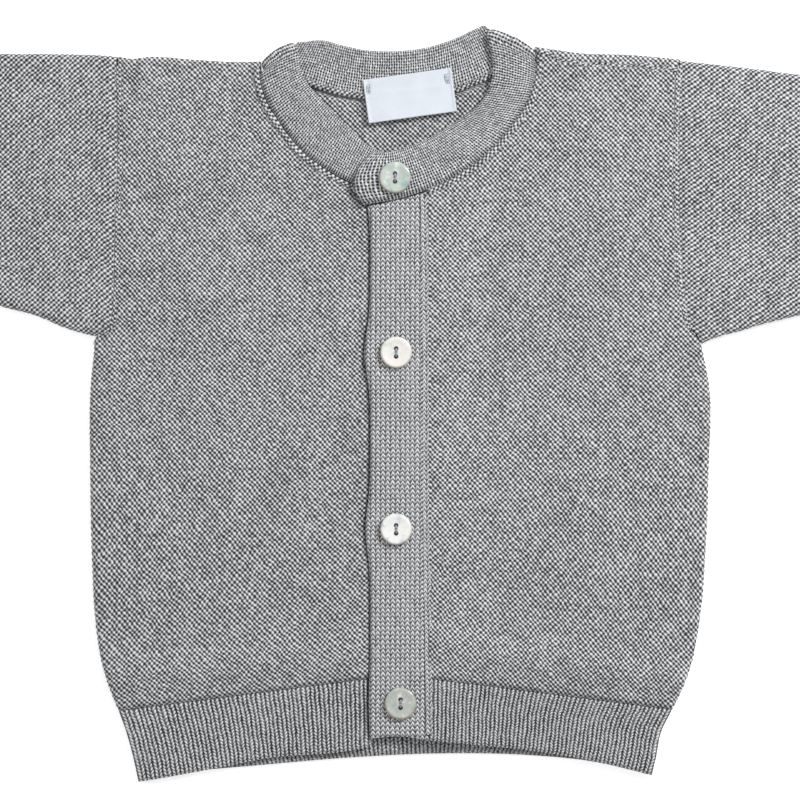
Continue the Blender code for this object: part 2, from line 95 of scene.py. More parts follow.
BACK_NECKLINE = (
    # x, y of the back's edge under the neckband
    (-51.6, 121.4), (-47.2, 121.0), (-41.0, 119.6), (-34.7, 117.4), (-24.8, 114.1), (-13.3, 112.0),
    (0.0, 111.8), (11.0, 112.6), (20.4, 114.4), (28.5, 117.4), (36.5, 121.6), (43.5, 124.6), (50.6, 125.0),
)
BACK_HEM = (
    # x, y
    (-95.3, -137.2), (-76.3, -134.0), (-52.9, -131.8), (-15.7, -128.7), (14.0, -127.4), (46.6, -128.0),
    (69.7, -130.3), (91.2, -135.2),
)
FRONT_HEM = {
    # x, y
    "right": (
        (-95.3, -137.7), (-82.0, -135.4), (-66.9, -132.6), (-48.2, -129.0), (-20.3, -126.6), (-10.0, -124.8),
    ),
    "left": (
        (10.6, -122.3), (27.9, -124.2), (46.6, -126.1), (69.7, -129.9), (84.0, -133.2), (91.2, -135.3),
    ),
}

# Placket
BAND_SEAM = (
    # y, x of the top band's seam
    (-122.6, 10.6), (-86.0, 10.0), (-41.0, 9.3), (45.0, 9.0), (80.0, 8.4),
)
BAND_FREE_X = -10.4
BAND_BOTTOM_Y = -121.7
BULGE_REACH = 11.0
BUTTONS = (
    # name, x, y, seat, buttonhole_turn, edge_bulge, base tint, second tint, third tint
    ("button_1", -1.8, 82.5, 8.1, 21.0, 2.6, (0.46, 0.52, 0.47), (0.26, 0.42, 0.41), (0.60, 0.66, 0.62)),
    ("button_2", -1.4, 18.8, 7.1, 90.0, 2.1, (0.74, 0.75, 0.70), (0.58, 0.66, 0.57), (0.80, 0.71, 0.70)),
    ("button_3", -1.4, -45.6, 7.1, 90.0, 1.7, (0.77, 0.79, 0.77), (0.50, 0.56, 0.61), (0.80, 0.78, 0.72)),
    ("button_4", 0.2, -109.1, 7.1, 90.0, 0.5, (0.42, 0.45, 0.41), (0.34, 0.39, 0.35), (0.58, 0.58, 0.53)),
)

# Neckband stations from the centre front round the wearer's right shoulder, the back and the left
# shoulder: the seam edge, the free folded rim, and the height of the strip's middle.
RIGHT_NECK = (
    # seam_x, seam_y, rim_x, rim_y, height
    (8.5, 78.0, 6.5, 93.2, 3.6), (-4.0, 75.8, -1.5, 91.6, 3.6), (-17.5, 80.8, -10.8, 94.0, 3.6),
    (-25.5, 85.0, -17.5, 99.4, 3.6), (-31.6, 89.1, -22.0, 103.6, 3.6), (-37.6, 94.7, -26.2, 108.4, 3.6),
    (-42.4, 101.1, -30.2, 112.8, 3.7), (-46.9, 107.7, -33.6, 117.0, 3.9), (-50.0, 114.6, -36.4, 122.2, 4.2),
    (-51.0, 120.4, -37.0, 127.4, 4.2),
)
RIGHT_FOLD = (-49.5, 122.0, -37.4, 130.0)
BACK_NECK = (
    # seam_x, seam_y, rim_x, rim_y, height
    (-47.2, 121.4, -37.8, 131.2, 1.3), (-41.0, 120.0, -33.6, 132.7, 1.3), (-34.7, 117.8, -28.6, 133.1, 1.3),
    (-24.8, 114.5, -21.0, 131.2, 1.3), (-13.3, 112.4, -12.0, 129.4, 1.3), (0.0, 112.2, 0.0, 129.2, 1.3),
    (11.0, 113.0, 9.6, 130.4, 1.3), (20.4, 114.8, 17.6, 132.8, 1.3), (28.5, 117.8, 22.8, 134.9, 1.3),
    (36.5, 122.0, 27.0, 137.0, 1.3), (43.5, 125.0, 31.4, 138.0, 1.3),
)
LEFT_FOLD = (49.0, 126.0, 31.6, 134.9)
LEFT_NECK = (
    # seam_x, seam_y, rim_x, rim_y, height
    (49.4, 124.6, 32.4, 131.4, 4.2), (49.2, 120.0, 33.8, 125.0, 4.2), (48.2, 115.2, 33.2, 117.6, 4.0),
    (46.2, 110.0, 31.0, 112.4, 3.8), (42.9, 104.6, 27.4, 108.4, 3.6), (38.4, 98.8, 23.4, 105.2, 3.6),
    (33.4, 93.2, 19.2, 102.4, 3.7), (27.0, 87.8, 14.4, 99.4, 4.1), (18.4, 82.2, 9.0, 96.4, 5.2),
    (9.0, 77.9, 3.0, 93.8, 6.5), (-2.0, 74.6, -3.6, 92.0, 6.5), (-13.4, 72.6, -9.8, 92.0, 6.5),
)
FOLD_RADIUS = 1.45
FOLD_PARTS = 4
TOP_END_BULGE = 5.2

# Sleeves pressed flat: distance from the body's middle, top edge, lower edge
SLEEVES = {
    "right": (
        # x, top_y, lower_y
        (-100.0, 126.6, 24.0), (-111.6, 127.7, 24.9), (-116.0, 127.8, 25.9), (-122.6, 127.9, 27.9),
        (-132.1, 128.0, 32.0), (-146.0, 128.1, 35.8), (-165.0, 127.9, 42.6), (-186.0, 127.4, 48.4),
        (-208.0, 126.0, 54.6), (-237.6, 123.6, 60.6),
    ),
    "left": (
        # x, top_y, lower_y
        (98.0, 126.0, 22.0), (109.9, 124.8, 22.2), (115.7, 124.1, 24.4), (124.8, 123.1, 26.9),
        (132.5, 122.2, 29.2), (146.0, 120.5, 32.5), (165.0, 118.3, 37.0), (186.0, 116.2, 41.0),
        (208.0, 113.6, 45.4), (237.6, 110.4, 49.2),
    ),
}
SLEEVE_END = 237.6
TUBE_HEIGHT = 4.3
CUFF_LENGTH = 28.0
CUFF_RIBS = 38

LABEL_CENTRE = (3.6, 112.7)
LABEL_SIZE = (32.5, 16.1)
LABEL_TURN = 7.9

# Soft troughs (negative) and ridges placed on the upper cloth
CREASES = (
    # x0, y0, x1, y1, half_width, height
    (-112.0, 24.2, -104.0, 28.6, 1.5, -1.5), (-104.0, 28.0, -94.0, 33.0, 2.6, -0.5),
    (-103.0, 31.5, -94.0, 41.0, 3.2, 0.5), (-109.0, 24.5, -120.0, 30.5, 2.2, -0.6),
    (-100.0, 18.0, -84.0, 8.0, 4.0, -0.35), (104.0, 27.0, 92.0, 36.0, 3.4, -0.6),
    (101.0, 20.0, 88.0, 12.0, 4.4, -0.3), (107.0, 24.0, 119.0, 30.0, 2.8, -0.4),
    (-101.0, 124.0, -97.0, 108.0, 2.6, -0.5), (-94.0, 123.5, -90.0, 112.0, 3.4, 0.35),
    (-70.0, 121.0, -60.0, 105.0, 6.0, -0.35), (56.0, 126.0, 62.0, 112.0, 3.4, -0.45),
    (66.0, 125.0, 71.0, 114.0, 3.0, 0.35), (76.0, 124.5, 79.0, 113.0, 3.4, -0.4),
    (87.0, 124.0, 89.0, 110.0, 3.6, 0.3), (95.0, 123.5, 97.0, 106.0, 3.0, -0.45),
    (-46.0, 98.0, -56.0, 84.0, 5.0, -0.3), (44.0, 98.0, 58.0, 82.0, 6.0, -0.3),
    (-90.0, -88.0, -84.0, -104.0, 4.5, -0.35), (-62.0, -82.0, -60.0, -100.0, 5.0, 0.3),
    (-36.0, -84.0, -37.0, -97.0, 4.0, -0.25), (38.0, -82.0, 40.0, -98.0, 4.4, -0.3),
    (66.0, -84.0, 63.0, -102.0, 5.0, 0.3), (88.0, -88.0, 83.0, -106.0, 4.2, -0.4),
    (-80.0, 60.0, -60.0, -10.0, 13.0, 0.35), (-40.0, 30.0, -52.0, -50.0, 12.0, -0.25),
    (46.0, 50.0, 40.0, -20.0, 12.0, 0.3), (80.0, 20.0, 74.0, -50.0, 14.0, -0.25),
    (109.5, 22.0, 106.0, 4.0, 2.6, 0.6), (105.0, 24.0, 101.0, 2.0, 3.6, -0.7),
    (-56.0, 111.0, -46.0, 98.0, 3.0, -0.5), (-32.0, 92.0, -18.0, 80.0, 2.6, -0.8),
    (-126.0, 118.0, -132.0, 60.0, 7.0, -0.3), (128.0, 112.0, 134.0, 50.0, 8.0, -0.3),
)


# ---------------------------------------------------------------- curves


def curve(x, knots_x, knots_y):
    """Smooth curve through the knots, which run in order of x. Flat beyond the ends."""
    kx = np.asarray(knots_x, float)
    ky = np.asarray(knots_y, float)
    slopes = np.gradient(ky, kx)
    x = np.clip(np.asarray(x, float), kx[0], kx[-1])
    k = np.clip(np.searchsorted(kx, x) - 1, 0, len(kx) - 2)
    step = kx[k + 1] - kx[k]
    t = (x - kx[k]) / step
    return (
        ky[k] * (1 + 2 * t) * (1 - t) ** 2
        + slopes[k] * step * t * (1 - t) ** 2
        + ky[k + 1] * t * t * (3 - 2 * t)
        + slopes[k + 1] * step * t * t * (t - 1)
    )


def along(table, x, column=1):
    """A table's column at x, which runs along its first column."""
    rows = sorted(table)
    return curve(x, [row[0] for row in rows], [row[column] for row in rows])


def smoothstep(value, low=0.0, high=1.0):
    t = np.clip((value - low) / (high - low), 0.0, 1.0)
    return t * t * (3.0 - 2.0 * t)


def fade(distance, width):
    """One at no distance, falling smoothly to nothing beyond the width."""
    return np.exp(-((distance / width) ** 2))


def body_edge(y, side):
    return along(BODY_EDGES, y, 1 if side == "right" else 2)


def neckline(y, side):
    return along(RIGHT_NECKLINE if side == "right" else LEFT_NECKLINE, y)


def shoulder(x, side):
    return along(SHOULDERS[side], x)


def band_seam(y):
    return along(BAND_SEAM, y)


def band_free_edge(y):
    bulge = sum(b[5] * np.exp(-(((y - b[2]) / BULGE_REACH) ** 2)) for b in BUTTONS)
    return BAND_FREE_X - bulge


def row_height(x, row):
    """Height of a knitted row, named by its height at the centre front. Low rows droop at the sides."""
    droop = 13.0 * smoothstep(-row, 5.0, 90.0)
    towards_neck = 0.07 * smoothstep(row, 50.0, 100.0) * smoothstep(-x, 0.0, 30.0) * (x + 60.0)
    return row - droop * np.clip(np.abs(x) / 101.5, 0.0, 1.15) - towards_neck


def row_end(rows, edge):
    """Where each row meets an edge that gives x from y."""
    x = edge(rows)
    for _ in range(30):
        x = edge(row_height(x, rows))
    return x


def creases(x, y):
    total = np.zeros_like(x)
    for x0, y0, x1, y1, width, height in CREASES:
        length = math.hypot(x1 - x0, y1 - y0)
        ux, uy = (x1 - x0) / length, (y1 - y0) / length
        t = (x - x0) * ux + (y - y0) * uy
        off = (x - x0) * uy - (y - y0) * ux
        reach = np.clip(np.abs(t - length / 2) - length * 0.3, 0.0, None) / (length * 0.28)
        total += height * fade(off, width) * np.exp(-(reach**2))
    return total


def drape(x, y):
    """Soft unevenness of the cloth as it lies."""
    wander = 0.20 * np.sin(x / 17.0 + 1.3 * np.sin(y / 31.0)) * np.cos(y / 23.0 + 0.6)
    wander += 0.12 * np.sin(x / 7.3 + y / 11.0) * np.sin(y / 8.1 - x / 19.0)
    return creases(x, y) + wander


def uneven(x, y):
    """How far the stitches wander from an even lattice, in stitches."""
    across = np.sin(x / 1.37 + 2.1 * np.sin(y / 3.7)) * np.cos(y / 1.9 + 1.3 * np.sin(x / 5.3))
    along_wale = np.sin(y / 1.51 + 1.9 * np.sin(x / 4.1)) * np.cos(x / 2.3 - 1.7 * np.sin(y / 6.1))
    return np.stack([0.10 * across, 0.10 * along_wale], -1)


# ---------------------------------------------------------------- knit patterns
# The same functions shape the meshes (numpy arrays) and drive the materials (shader sockets).


class Field:
    """A number that varies over a surface: a shader socket with arithmetic."""

    def __init__(self, tree, socket):
        self.tree = tree
        self.socket = socket

    def math(self, operation, *others, clamp=False):
        node = self.tree.nodes.new("ShaderNodeMath")
        node.operation = operation
        node.use_clamp = clamp
        for slot, value in zip(node.inputs, (self, *others)):
            if isinstance(value, Field):
                self.tree.links.new(value.socket, slot)
            else:
                slot.default_value = float(value)
        return Field(self.tree, node.outputs[0])

    def clamped(self):
        return self.math("ADD", 0.0, clamp=True)

    def __add__(self, other):
        return self.math("ADD", other)

    def __mul__(self, other):
        return self.math("MULTIPLY", other)

    def __sub__(self, other):
        return self.math("SUBTRACT", other)

    def __rsub__(self, other):
        return self * -1.0 + other

    def __pow__(self, other):
        return self.math("POWER", other)

    __radd__ = __add__
    __rmul__ = __mul__


def wave(x):
    """Cosine with a period of one."""
    if isinstance(x, Field):
        return (x * math.tau).math("COSINE")
    return np.cos(x * math.tau)


def fraction(x):
    return x.math("FRACT") if isinstance(x, Field) else x - np.floor(x)


def size_of(x):
    return x.math("ABSOLUTE") if isinstance(x, Field) else np.abs(x)


def garter(u, v):
    """Purl bumps in brick order, leaning one way, with faint ridges along the rows. 0 to 1."""
    return 0.5 + 0.255 * wave(u + v) + 0.185 * wave(u - v) + 0.05 * wave(v)


def plain_knit(u, v, slant):
    """Columns of V stitches: u counts columns, v counts rows, slant is how far the arms lean. 0 to 1."""
    out = size_of(fraction(u) - 0.5) * 2.0
    strand = 0.5 + 0.5 * wave(v - out * slant)
    return (1.0 - 0.88 * out**3.0) * (0.12 + 1.02 * strand)


def ribs(u, v, slant):
    """Columns of V stitches, each arm a round strand with sunk gaps beside it. 0 to 1."""
    out = size_of(fraction(u) - 0.5) * 2.0
    arm = 0.5 + 0.5 * wave(out - 0.5)
    strand = 0.5 + 0.5 * wave(v - out * slant)
    return (0.10 + 0.90 * arm) * (0.30 + 0.70 * strand) + 0.06 * (1.0 - out)


def fine_knit(u, v):
    """Close radial columns with a small sunk hole at each stitch, which the knit materials paint dark as shade. 0 to
    1.
    """
    hole = (0.5 + 0.5 * wave(u * 2.0)) * (0.5 + 0.5 * wave(v))
    return 0.66 - 0.62 * hole + 0.09 * wave(u * 2.0 + 0.5) + 0.06 * wave(u - v * 0.5)


# ---------------------------------------------------------------- materials


class Shader:
    """A node tree being built, with a few short ways to add to it."""

    def __init__(self, name):
        self.material = bpy.data.materials.new(name)
        self.material.use_nodes = True
        self.tree = self.material.node_tree
        self.surface = self.tree.nodes["Principled BSDF"]

    def node(self, kind, **settings):
        node = self.tree.nodes.new(kind)
        for key, value in settings.items():
            setattr(node, key, value)
        return node

    def link(self, source, target):
        self.tree.links.new(source.socket if isinstance(source, Field) else source, target)

    def field(self, socket):
        return Field(self.tree, socket)

    def stitch(self):
        uv = self.node("ShaderNodeUVMap", uv_map="Stitch")
        split = self.node("ShaderNodeSeparateXYZ")
        self.link(uv.outputs[0], split.inputs[0])
        return self.field(split.outputs[0]), self.field(split.outputs[1])

    def place(self):
        return self.node("ShaderNodeTexCoord").outputs["Object"]

    def shifted(self, vector):
        node = self.node("ShaderNodeVectorMath", operation="ADD")
        node.inputs[1].default_value = (3.1, 7.7, 1.9)
        self.link(vector, node.inputs[0])
        return node.outputs[0]

    def combine(self, x, y, z=0.0):
        node = self.node("ShaderNodeCombineXYZ")
        for slot, value in zip(node.inputs, (x, y, z)):
            if isinstance(value, Field):
                self.link(value, slot)
            else:
                slot.default_value = value
        return node.outputs[0]

    def noise(self, vector, scale, detail=2.0, roughness=0.5):
        node = self.node("ShaderNodeTexNoise")
        node.inputs["Scale"].default_value = scale
        node.inputs["Detail"].default_value = detail
        node.inputs["Roughness"].default_value = roughness
        self.link(vector, node.inputs["Vector"])
        return self.field(node.outputs[0])

    def speckle(self, vector):
        node = self.node("ShaderNodeTexWhiteNoise", noise_dimensions="2D")
        self.link(vector, node.inputs["Vector"])
        return self.field(node.outputs[0])

    def ramp(self, value, stops):
        node = self.node("ShaderNodeValToRGB")
        elements = node.color_ramp.elements
        while len(elements) < len(stops):
            elements.new(0.5)
        for element, (position, colour) in zip(elements, stops):
            element.position = position
            element.color = (*colour, 1.0)
        self.link(value, node.inputs[0])
        return node.outputs[0]

    def bump(self, height, distance):
        node = self.node("ShaderNodeBump")
        node.inputs["Strength"].default_value = 1.0
        node.inputs["Distance"].default_value = distance
        self.link(height, node.inputs["Height"])
        self.link(node.outputs[0], self.surface.inputs["Normal"])

    def colour(self, value, stops):
        self.link(self.ramp(value, stops), self.surface.inputs["Base Color"])

    def constants(self, **values):
        for key, value in values.items():
            self.surface.inputs[key.replace("_", " ")].default_value = value


MARL_SCALE = 1250.0
# Marl yarn tones, from painted shade in the gaps between the stitches to painted light on the lightest fibres on top
# of them
YARN_TONE_AND_SHADE_STOPS = (
    # tone, colour
    (0.0, (0.020, 0.021, 0.024)),
    (0.22, (0.085, 0.087, 0.094)),
    (0.45, (0.235, 0.238, 0.248)),
    (0.70, (0.440, 0.444, 0.456)),
    (1.0, (0.760, 0.765, 0.780)),
)


def yarn_material(name, pattern, cell, relief_shade_gain, tone_shift, depth, fibre=(2.2, 4.2), waver=0.42):
    """Knit in marl yarn. pattern gives the relief from u and v, and cell names the stitch there. depth
    is the bump's, fibre is how many strands cross a stitch each way, and waver is in stitches."""
    shader = Shader(name)
    u, v = shader.stitch()
    place = shader.place()
    u = u + (shader.noise(place, 300.0, 1.0) - 0.5) * waver
    v = v + (shader.noise(shader.shifted(place), 300.0, 1.0) - 0.5) * waver
    relief = pattern(u, v)
    stitch_tint = shader.speckle(cell(shader, u, v)) - 0.5
    along_yarn = shader.combine(u * fibre[0], v * fibre[1])
    strands = shader.noise(along_yarn, 1.0, 3.0, 0.65) - 0.5
    marl = shader.noise(place, MARL_SCALE, 2.0, 0.6) - 0.5
    patches = shader.noise(place, 70.0, 3.0, 0.55) - 0.5
    # The relief also sets the tone: painted shade between the stitches and painted light on their tops.
    tone = relief * relief_shade_gain + tone_shift + stitch_tint * 0.24 + strands * 0.60 + marl * 0.75 + patches * 0.20
    shader.colour(tone.clamped(), YARN_TONE_AND_SHADE_STOPS)
    fibres = shader.noise(along_yarn, 2.6, 3.0, 0.7)
    fuzz = shader.noise(place, 5200.0, 2.0, 0.6)
    height = relief + fibres * 0.22 + fuzz * 0.10
    shader.bump(height, depth * MM)
    shader.link(0.80 + (fibres - 0.5) * 0.2, shader.surface.inputs["Roughness"])
    shader.constants(Specular_IOR_Level=0.22, Sheen_Weight=0.10, Sheen_Roughness=0.5)
    return shader.material


def brick_cell(shader, u, v):
    return shader.combine((u + v).math("ROUND"), (u - v).math("ROUND"))


def column_cell(slant):
    def cell(shader, u, v):
        out = size_of(fraction(u) - 0.5) * 2.0
        return shader.combine((u * 2.0).math("FLOOR"), (v - out * slant).math("ROUND"))

    return cell


BAND_SLANT = -0.72
RIB_SLANT = -0.95
NECK_SLANT = 0.45

GARTER = yarn_material("garter_knit", garter, brick_cell, 1.42, -0.225, 0.42)
BAND = yarn_material(
    "band_knit", lambda u, v: plain_knit(u, v, BAND_SLANT), column_cell(BAND_SLANT), 1.55, 0.04, 0.42, (3.4, 2.6), 0.42
)
RIB = yarn_material(
    "rib_knit", lambda u, v: ribs(u, v, RIB_SLANT), column_cell(RIB_SLANT), 1.60, -0.045, 0.50, (5.0, 2.0), 0.3
)
NECK = yarn_material(
    "neck_knit", fine_knit, column_cell(NECK_SLANT), 1.66, -0.405, 0.36, (3.4, 2.4), 0.42
)


def satin_material():
    shader = Shader("label_satin")
    u, v = shader.stitch()
    weft = wave(v * 3.2)
    warp = wave(u * 2.4 + (v * 1.6).math("FLOOR") * 0.5)
    weave = weft * 0.5 + warp * 0.3
    place = shader.place()
    cloud = shader.noise(place, 160.0, 3.0, 0.5)
    tone = cloud * 0.5 + weave * 0.12 + 0.25
    stops = ((0.0, (0.50, 0.58, 0.67)), (0.5, (0.66, 0.705, 0.765)), (1.0, (0.78, 0.80, 0.83)))
    shader.colour(tone, stops)
    shader.bump(weave, 0.03 * MM)
    shader.link(0.42 + cloud * 0.12, shader.surface.inputs["Roughness"])
    shader.constants(Specular_IOR_Level=0.5, Sheen_Weight=0.25, Sheen_Roughness=0.4)
    return shader.material


def pearl_material(name, centre, tints):
    """Mother of pearl: cloudy bands of three tints, glossy, with a warm rim, part tint and part painted shade, darker
    towards its lower side.
    """
    base, second, third = tints
    shader = Shader(name)
    place = shader.place()
    bent = shader.noise(place, 210.0, 3.0, 0.6)
    layers = shader.noise(place, 620.0, 4.0, 0.6)
    tone = (bent - 0.5) * 2.6 + (layers - 0.5) * 1.1 + 0.5
    stops = ((0.0, second), (0.38, base), (0.62, base), (0.82, third), (1.0, tuple(0.5 * c + 0.45 for c in third)))
    colour = shader.ramp(tone.clamped(), stops)
    from_centre = shader.node("ShaderNodeVectorMath", operation="SUBTRACT")
    from_centre.inputs[1].default_value = (centre[0] * MM, centre[1] * MM, 0.0)
    shader.link(place, from_centre.inputs[0])
    parts = shader.node("ShaderNodeSeparateXYZ")
    shader.link(from_centre.outputs[0], parts.inputs[0])
    across, up = shader.field(parts.outputs[0]) * 1000.0, shader.field(parts.outputs[1]) * 1000.0
    radius = (across * across + up * up) ** 0.5
    # Darker warm rim: part the pearl's own warm tint, part painted shade, growing towards the lower side.
    rim = ((radius - 4.9) * 1.6).clamped()
    lower = (0.45 - up * 0.09).clamped()
    amber_and_shade = shader.node("ShaderNodeMix", data_type="RGBA")
    amber_and_shade.inputs[7].default_value = (0.20, 0.12, 0.06, 1.0)
    shader.link(rim * lower * 0.75, amber_and_shade.inputs[0])
    shader.link(colour, amber_and_shade.inputs[6])
    shader.link(amber_and_shade.outputs[2], shader.surface.inputs["Base Color"])
    shader.bump(layers, 0.05 * MM)
    shader.link(0.16 + layers * 0.16, shader.surface.inputs["Roughness"])
    shader.constants(Specular_IOR_Level=0.6, Coat_Weight=0.5, Coat_Roughness=0.08)
    return shader.material


def thread_material(name, light, dark):
    shader = Shader(name)
    u, v = shader.stitch()
    twist = wave(u + v * 2.0)
    # The tone follows the twist: painted shade in its grooves, painted light on its crests.
    shader.colour(twist * 0.4 + 0.5, ((0.0, dark), (1.0, light)))
    shader.bump(twist, 0.08 * MM)
    shader.constants(Roughness=0.7, Specular_IOR_Level=0.3)
    return shader.material


SATIN = satin_material()
LILAC_THREAD = thread_material("lilac_thread", (0.42, 0.39, 0.46), (0.16, 0.15, 0.19))
WHITE_THREAD = thread_material("white_thread", (0.80, 0.85, 0.92), (0.45, 0.52, 0.62))


# ---------------------------------------------------------------- mesh helpers


def columns_of(*grids):
    return np.column_stack([np.asarray(grid).ravel() for grid in grids])


def unit(vectors):
    return vectors / np.maximum(np.linalg.norm(vectors, axis=-1, keepdims=True), 1e-9)


def distance_along(path, least=0.0):
    """Distance from a path's start to each of its points, with no step shorter than least."""
    steps = np.linalg.norm(np.diff(path, axis=0), axis=1)
    return np.concatenate([[0.0], np.cumsum(np.maximum(steps, least))])


def declare(item, node=None):
    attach(item, "root")
    if node is not None:
        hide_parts(node)
    return item


def turn_outward(mesh, join=0.0):
    """Turns all faces outward, after joining points closer than join millimetres."""
    work = bmesh.new()
    work.from_mesh(mesh)
    if join > 0.0:
        bmesh.ops.remove_doubles(work, verts=work.verts, dist=join * MM)
        loose = [vertex for vertex in work.verts if not vertex.link_faces]
        bmesh.ops.delete(work, geom=loose, context="VERTS")
    bmesh.ops.recalc_face_normals(work, faces=work.faces)
    work.to_mesh(mesh)
    work.free()


def add_piece(name, points, faces, uv, material, node=None, outward=False, join=0.0):
    """A piece from points in millimetres, with one stitch coordinate a point. It stands for the CAD
    node."""
    mesh = bpy.data.meshes.new(name)
    mesh.from_pydata((np.asarray(points) * MM).tolist(), [], faces)
    mesh.update()
    layer = mesh.uv_layers.new(name="Stitch")
    corners = np.zeros(len(mesh.loops), np.int32)
    mesh.loops.foreach_get("vertex_index", corners)
    layer.data.foreach_set("uv", np.asarray(uv, np.float32)[corners].ravel())
    mesh.materials.append(material)
    mesh.shade_smooth()
    if outward:
        turn_outward(mesh, join)
    item = bpy.data.objects.new(name, mesh)
    bpy.context.scene.collection.objects.link(item)
    return declare(item, node)


def grid_faces(rows, columns):
    k = np.arange((rows - 1) * columns).reshape(rows - 1, columns)[:, :-1]
    return np.stack([k, k + 1, k + columns + 1, k + columns], -1).reshape(-1, 4)


def tube_faces(rows, columns, ends=True):
    """Quads round a tube of so many rings, with a face over each end."""
    k = np.arange((rows - 1) * columns).reshape(rows - 1, columns)
    beside = np.roll(k, -1, 1)
    faces = np.stack([k, beside, beside + columns, k + columns], -1).reshape(-1, 4).tolist()
    if ends:
        last = (rows - 1) * columns
        faces += [list(range(columns))[::-1], list(range(last, last + columns))]
    return faces


def merged(points, faces):
    """Joins points in the same place: one point of each place, and the faces that still have an area."""
    keys = np.round(points / 0.004).astype(np.int64)
    _, first, back = np.unique(keys, axis=0, return_index=True, return_inverse=True)
    kept = []
    for face in back.ravel()[faces].tolist():
        ring = [p for k, p in enumerate(face) if p != face[k - 1]]
        if len(ring) > 2 and len(set(ring)) == len(ring):
            kept.append(ring)
    used = np.unique(np.concatenate([np.array(face) for face in kept]))
    place = np.full(len(first), -1)
    place[used] = np.arange(len(used))
    return first[used], [[int(place[p]) for p in face] for face in kept]


def border_loop(faces):
    """The outer edge of a sheet as one ring of points, in the faces' own direction."""
    edges = {(face[k - 1], p) for face in faces for k, p in enumerate(face)}
    following = {}
    for a, b in edges:
        if (b, a) not in edges:
            following.setdefault(a, []).append(b)
    loops = []
    while following:
        ring = [next(iter(following))]
        while True:
            options = following[ring[-1]]
            step = options.pop()
            if not options:
                del following[ring[-1]]
            if step == ring[0]:
                break
            ring.append(step)
        loops.append(ring)
    return max(loops, key=len)


def ring_normals(points):
    """Outward directions in the plane at each point of an anticlockwise ring."""
    ahead = np.roll(points, -1, 0) - np.roll(points, 1, 0)
    normals = unit(np.stack([ahead[:, 1], -ahead[:, 0]], 1))
    for _ in range(2):
        normals = unit(normals + np.roll(normals, 1, 0) + np.roll(normals, -1, 0))
    return normals


def distance_to(ring, places):
    """Distance from each place to the nearest point of a ring."""
    tree = kdtree.KDTree(len(ring))
    for k, point in enumerate(ring):
        tree.insert((*point, 0.0), k)
    tree.balance()
    return np.array([tree.find((x, y, 0.0))[2] for x, y in places])


def edge_distance(xy, faces, reach=3.0):
    """Distance from each point of a sheet to its edge, up to reach."""
    return np.minimum(distance_to(xy[border_loop(faces)], xy), reach)


def grid_sheet(x, y, u, v):
    """A sheet from grids: (xy, uv, faces), and each point's distance to the edge."""
    xy, faces = columns_of(x, y), grid_faces(*x.shape).tolist()
    return (xy, columns_of(u, v), faces), edge_distance(xy, faces)


def inner_face(ring, place, inner, coarse, shows):
    """Points and faces that fill a ring of points at the given places, apart from the ring itself."""
    count = len(ring)
    (low_x, low_y), (high_x, high_y) = place.min(0), place.max(0)
    xs = np.arange(low_x + coarse / 2, high_x, coarse)
    ys = np.arange(low_y + coarse / 2, high_y, coarse)
    seeds = np.array([(x, y) for x in xs for y in ys] + list(shows))
    seeds = seeds[distance_to(place, seeds) > 0.9]
    edges = [(k, (k + 1) % count) for k in range(count)]
    flat = [Vector(point) for point in (*place, *seeds)]
    made, _, cells, origins, _, _ = delaunay_2d_cdt(flat, edges, [], 1, 1e-6)
    slots, extra = [], []
    for point, sources in zip(made, origins):
        borders = [source for source in sources if source < count]
        slots.append(int(ring[borders[0]]) if borders else int(ring[-1]) + 1 + len(extra))
        if not borders:
            extra.append(tuple(point))
    faces = [[slots[k] for k in cell][::-1] for cell in cells]
    extra = np.array(extra).reshape(-1, 2)
    return extra, inner(*extra.T), [face for face in faces if len(set(face)) > 2]


def add_shell(node, kind, material, sheet, top, inner, rim, per_mm, coarse=7.0, shows=(), inner_uv=None, down=False):
    """Closes a sheet into a thin shell and adds it as a piece.

    top is each point's height, and inner gives the other face's height at (x, y). rim lists (outset,
    share of the thickness down from the sheet, distance along the cloth). per_mm turns millimetres
    into stitches. shows adds close points to the inner face where it shows, and down says that the
    sheet is the underside.
    """
    xy, uv, faces = sheet
    loop = border_loop(faces)
    x, y = xy[loop].T
    if np.sum(x * np.roll(y, -1) - np.roll(x, -1) * y) < 0:
        faces = [face[::-1] for face in faces]
        loop = loop[::-1]
    edge, edge_top, normals = xy[loop], top[loop], ring_normals(xy[loop])
    points, uvs, faces = [np.column_stack([xy, top])], [uv], list(faces)
    ring, total = np.array(loop), len(xy)
    for outset, share, distance in rim:
        place = edge + normals * outset
        points.append(np.column_stack([place, edge_top + (inner(*place.T) - edge_top) * share]))
        uvs.append(uv[loop] + normals * distance * per_mm)
        before, ring = ring, np.arange(total, total + len(loop))
        faces += np.stack([before, ring, np.roll(ring, -1), np.roll(before, -1)], 1).tolist()
        total += len(loop)
    extra, heights, filling = inner_face(ring, place, inner, coarse, shows)
    points.append(np.column_stack([extra, heights]))
    uvs.append(extra * per_mm if inner_uv is None else inner_uv(*extra.T))
    faces += filling
    if down:
        faces = [face[::-1] for face in faces]
    return add_piece(f"{node}_{kind}", np.vstack(points), faces, np.vstack(uvs), material, node)


def round_off(distance, radius, drop):
    """How far a face drops near its edge, as a quarter round."""
    t = np.clip(1.0 - distance / radius, 0.0, 1.0)
    return drop * (1.0 - np.sqrt(1.0 - t * t))


# ---------------------------------------------------------------- body panels

BODY_ROWS = np.arange(-98.6 - HALF, 135.0, HALF)
BODY_ROWS = np.concatenate([[-98.4], BODY_ROWS[BODY_ROWS > -98.1]])
RIB_TOP = -98.9
RIB_LENGTH = 26.0
RIB_ROW = 1.27
RIB_PER_MM = np.array((0.31, -0.787))

